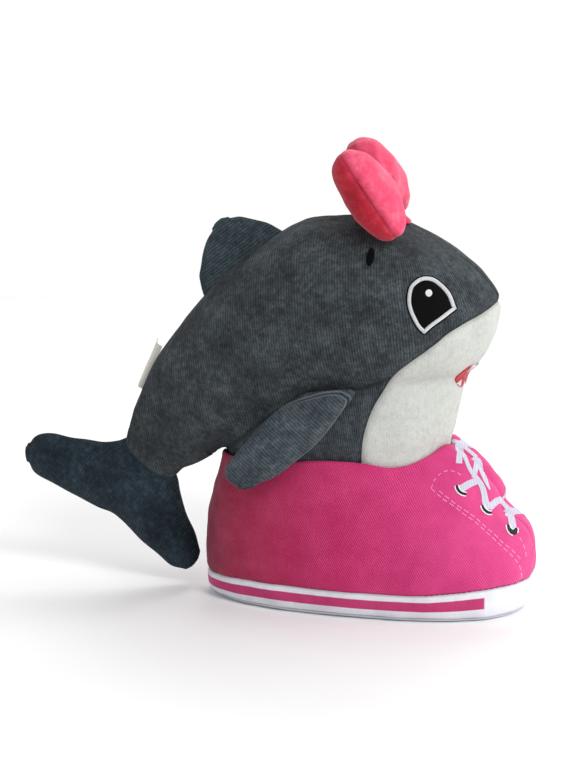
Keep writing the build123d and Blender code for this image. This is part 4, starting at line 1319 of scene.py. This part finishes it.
for name, line, w, h in CROSSINGS:
    strip("print_" + name, line, w, M_LACE, h, both=False, how=cast_toe)
EYELETS = [
    ([(81.55, -50.2), (81.95, -52), (83.15, -53.5), (84.75, -54.4), (86.35, -54.65)], [1.25, 1.35, 1.35, 1.3, 1.25]),
    ([(94.2, -60), (94.75, -61.5), (95.95, -62.9), (97.45, -63.8), (99.05, -63.9)], [1.0, 1.2, 1.35, 1.35, 1.2]),
    ([(107.05, -69.8), (107.55, -71.7), (108.75, -73.3), (110.25, -73.8), (111.05, -72.5), (111.1, -71.5)], [1.1, 1.6, 2.2, 2.5, 2.0, 1.1]),
]
for i, (line, w) in enumerate(EYELETS):
    strip(f"print_eyelet_border_{i}", line, [q + 1.1 for q in w], M_RINGS, 0.21)
    strip(f"print_eyelet_{i}", line, w, M_EYELET, 0.26)


def dashes(name, line, on, off, width, h=0.09, start=0.0):
    pts = np.array(line, float)
    d = smooth_rows(pts, 400)
    s = np.concatenate([[0], np.cumsum(np.linalg.norm(np.diff(d, axis=0), axis=1))])
    k, at = 0, start
    while at + on < s[-1]:
        w = np.linspace(at, at + on, 4)
        seg = np.stack([np.interp(w, s, d[:, i]) for i in range(2)], 1)
        strip(f"{name}_{k}", seg, width, M_DASH, h, cols=3)
        at += on + off
        k += 1


dashes("print_stitch_a", [(68.9, -51.85), (74.8, -57), (79.65, -60.2), (85.6, -64.8), (89.9, -67.75), (94.75, -72.05), (99.05, -75.85), (103.35, -79.9), (107.65, -83.9), (112, -88.75), (113.6, -92.5), (114.15, -98.5)], 2.5, 1.4, 0.42)
dashes("print_stitch_b", [(71.35, -51.7), (76.95, -56.3), (81.8, -60.1), (87.75, -64), (92.05, -67.3), (96.35, -71.3), (100.65, -74.9), (104.45, -78.65), (108.75, -82.1), (112.5, -85.9), (114.95, -90.3)], 2.5, 1.4, 0.42, start=1.9)
dashes("print_stitch_c", [(68.9, -51.7), (70.5, -47.5), (73.5, -44.3), (77.75, -42.8), (82.25, -44.1), (85.75, -46.7)], 2.0, 1.6, 0.4)
dashes("print_stitch_d", [(113.05, -76.1), (115.2, -80.7), (116.1, -85), (115.65, -89.5)], 2.4, 1.6, 0.4)


# dark thread where the band's seam turns round the toe, and its running stitch
def seam_thread(x0, x1, tag, on=1.5, off=1.0):
    k, x = 0, x0
    while x < x1:
        for nm, sg in (("right", -1), ("left", 1)):
            pts = []
            for q in np.linspace(x, x + on, 4):
                z = fox_seam(np.array([q]))[0] + 0.35
                hit, n, _, _ = SHOE_BVH.ray_cast(Vector((q * MM, sg * 0.09, z * MM)), Vector((0, -sg, 0)))
                if hit is not None:
                    pts.append((np.array(hit) / MM + np.array(n) * 0.06, np.array(n)))
            if len(pts) < 3:
                continue
            V, F = [], []
            for p, n in pts:
                up = np.array([0, 0, 1.0])
                V += [p - up * 0.26, p + n * 0.16, p + up * 0.26]
            for i in range(len(pts) - 1):
                for j in range(2):
                    F.append((i * 3 + j, i * 3 + j + 1, (i + 1) * 3 + j + 1, (i + 1) * 3 + j))
            o = mesh_object(f"seam_thread_{tag}_{k}_{nm}", V, F)
            attr(o, "across", np.full(len(V), 0.5))
            give(o, M_THREAD)
            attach(o, "body")
        x += on + off
        k += 1


M_THREAD = ink("thread_dark", lin(120, 26, 74), None, 0.3)
seam_thread(34.0, 79.0, "toe")

# ----------------------------------------------------------------- floor and light
fm = Nodes("floor_paper")
fn = fm.math("SUBTRACT", fm.noise(60.0, 3.0), 0.5)
M_FLOOR = fm.done(fm.ramp(fm.math("ADD", fn, 0.5), (0.0, (0.93, 0.93, 0.93)), (1.0, (0.96, 0.96, 0.96))), 0.9, None, 0, (1, 1, 1), 0.0)
me = bpy.data.meshes.new("floor")
G, prof = [], []
for i in range(41):
    yy = -3.0 + 3.9 * i / 40
    zz = 0.0
    prof.append((yy, zz))
for yy, zz in prof:
    G += [(-4.0, yy, zz), (4.0, yy, zz)]
me.from_pydata(G, [], [(2 * i, 2 * i + 1, 2 * i + 3, 2 * i + 2) for i in range(40)])
me.polygons.foreach_set("use_smooth", [True] * 40)
floor = bpy.data.objects.new("floor", me)
floor.location.z = -0.0002
scene.collection.objects.link(floor)
me.materials.append(M_FLOOR)


def area(name, pos, aim, size, power, color=(1, 1, 1)):
    d = bpy.data.lights.new(name, "AREA")
    d.shape, d.size, d.energy, d.color = "DISK", size, power, color
    o = bpy.data.objects.new(name, d)
    o.location = pos
    o.rotation_euler = (Vector(aim) - Vector(pos)).to_track_quat("-Z", "Y").to_euler()
    scene.collection.objects.link(o)


area("key", (0.85, -0.85, 1.05), (0, 0, 0.10), 0.6, 12.0)
area("fill", (-0.9, -0.9, 0.55), (0, 0, 0.10), 0.9, 0.5)
area("rim", (-0.1, 0.9, 0.9), (0, 0, 0.12), 0.7, 5.0)
area("front", (1.1, 0.1, 0.4), (0, 0, 0.10), 0.6, 3.5)
world = bpy.data.worlds.new("world")
scene.world = world
world.use_nodes = True
wt = world.node_tree
bg = wt.nodes["Background"]
geo = wt.nodes.new("ShaderNodeTexCoord")
sep = wt.nodes.new("ShaderNodeSeparateXYZ")
wt.links.new(geo.outputs["Generated"], sep.inputs[0])
rng = wt.nodes.new("ShaderNodeMapRange")
rng.inputs["From Min"].default_value, rng.inputs["From Max"].default_value = -0.35, 0.45
rng.inputs["To Min"].default_value, rng.inputs["To Max"].default_value = 0.36, 1.0
wt.links.new(sep.outputs[1], rng.inputs["Value"])
wt.links.new(rng.outputs[0], bg.inputs["Strength"])
bg.inputs["Color"].default_value = (1, 1, 1, 1)
scene.view_settings.view_transform = "Standard"
scene.view_settings.look = "None"
scene.view_settings.exposure = 0.0
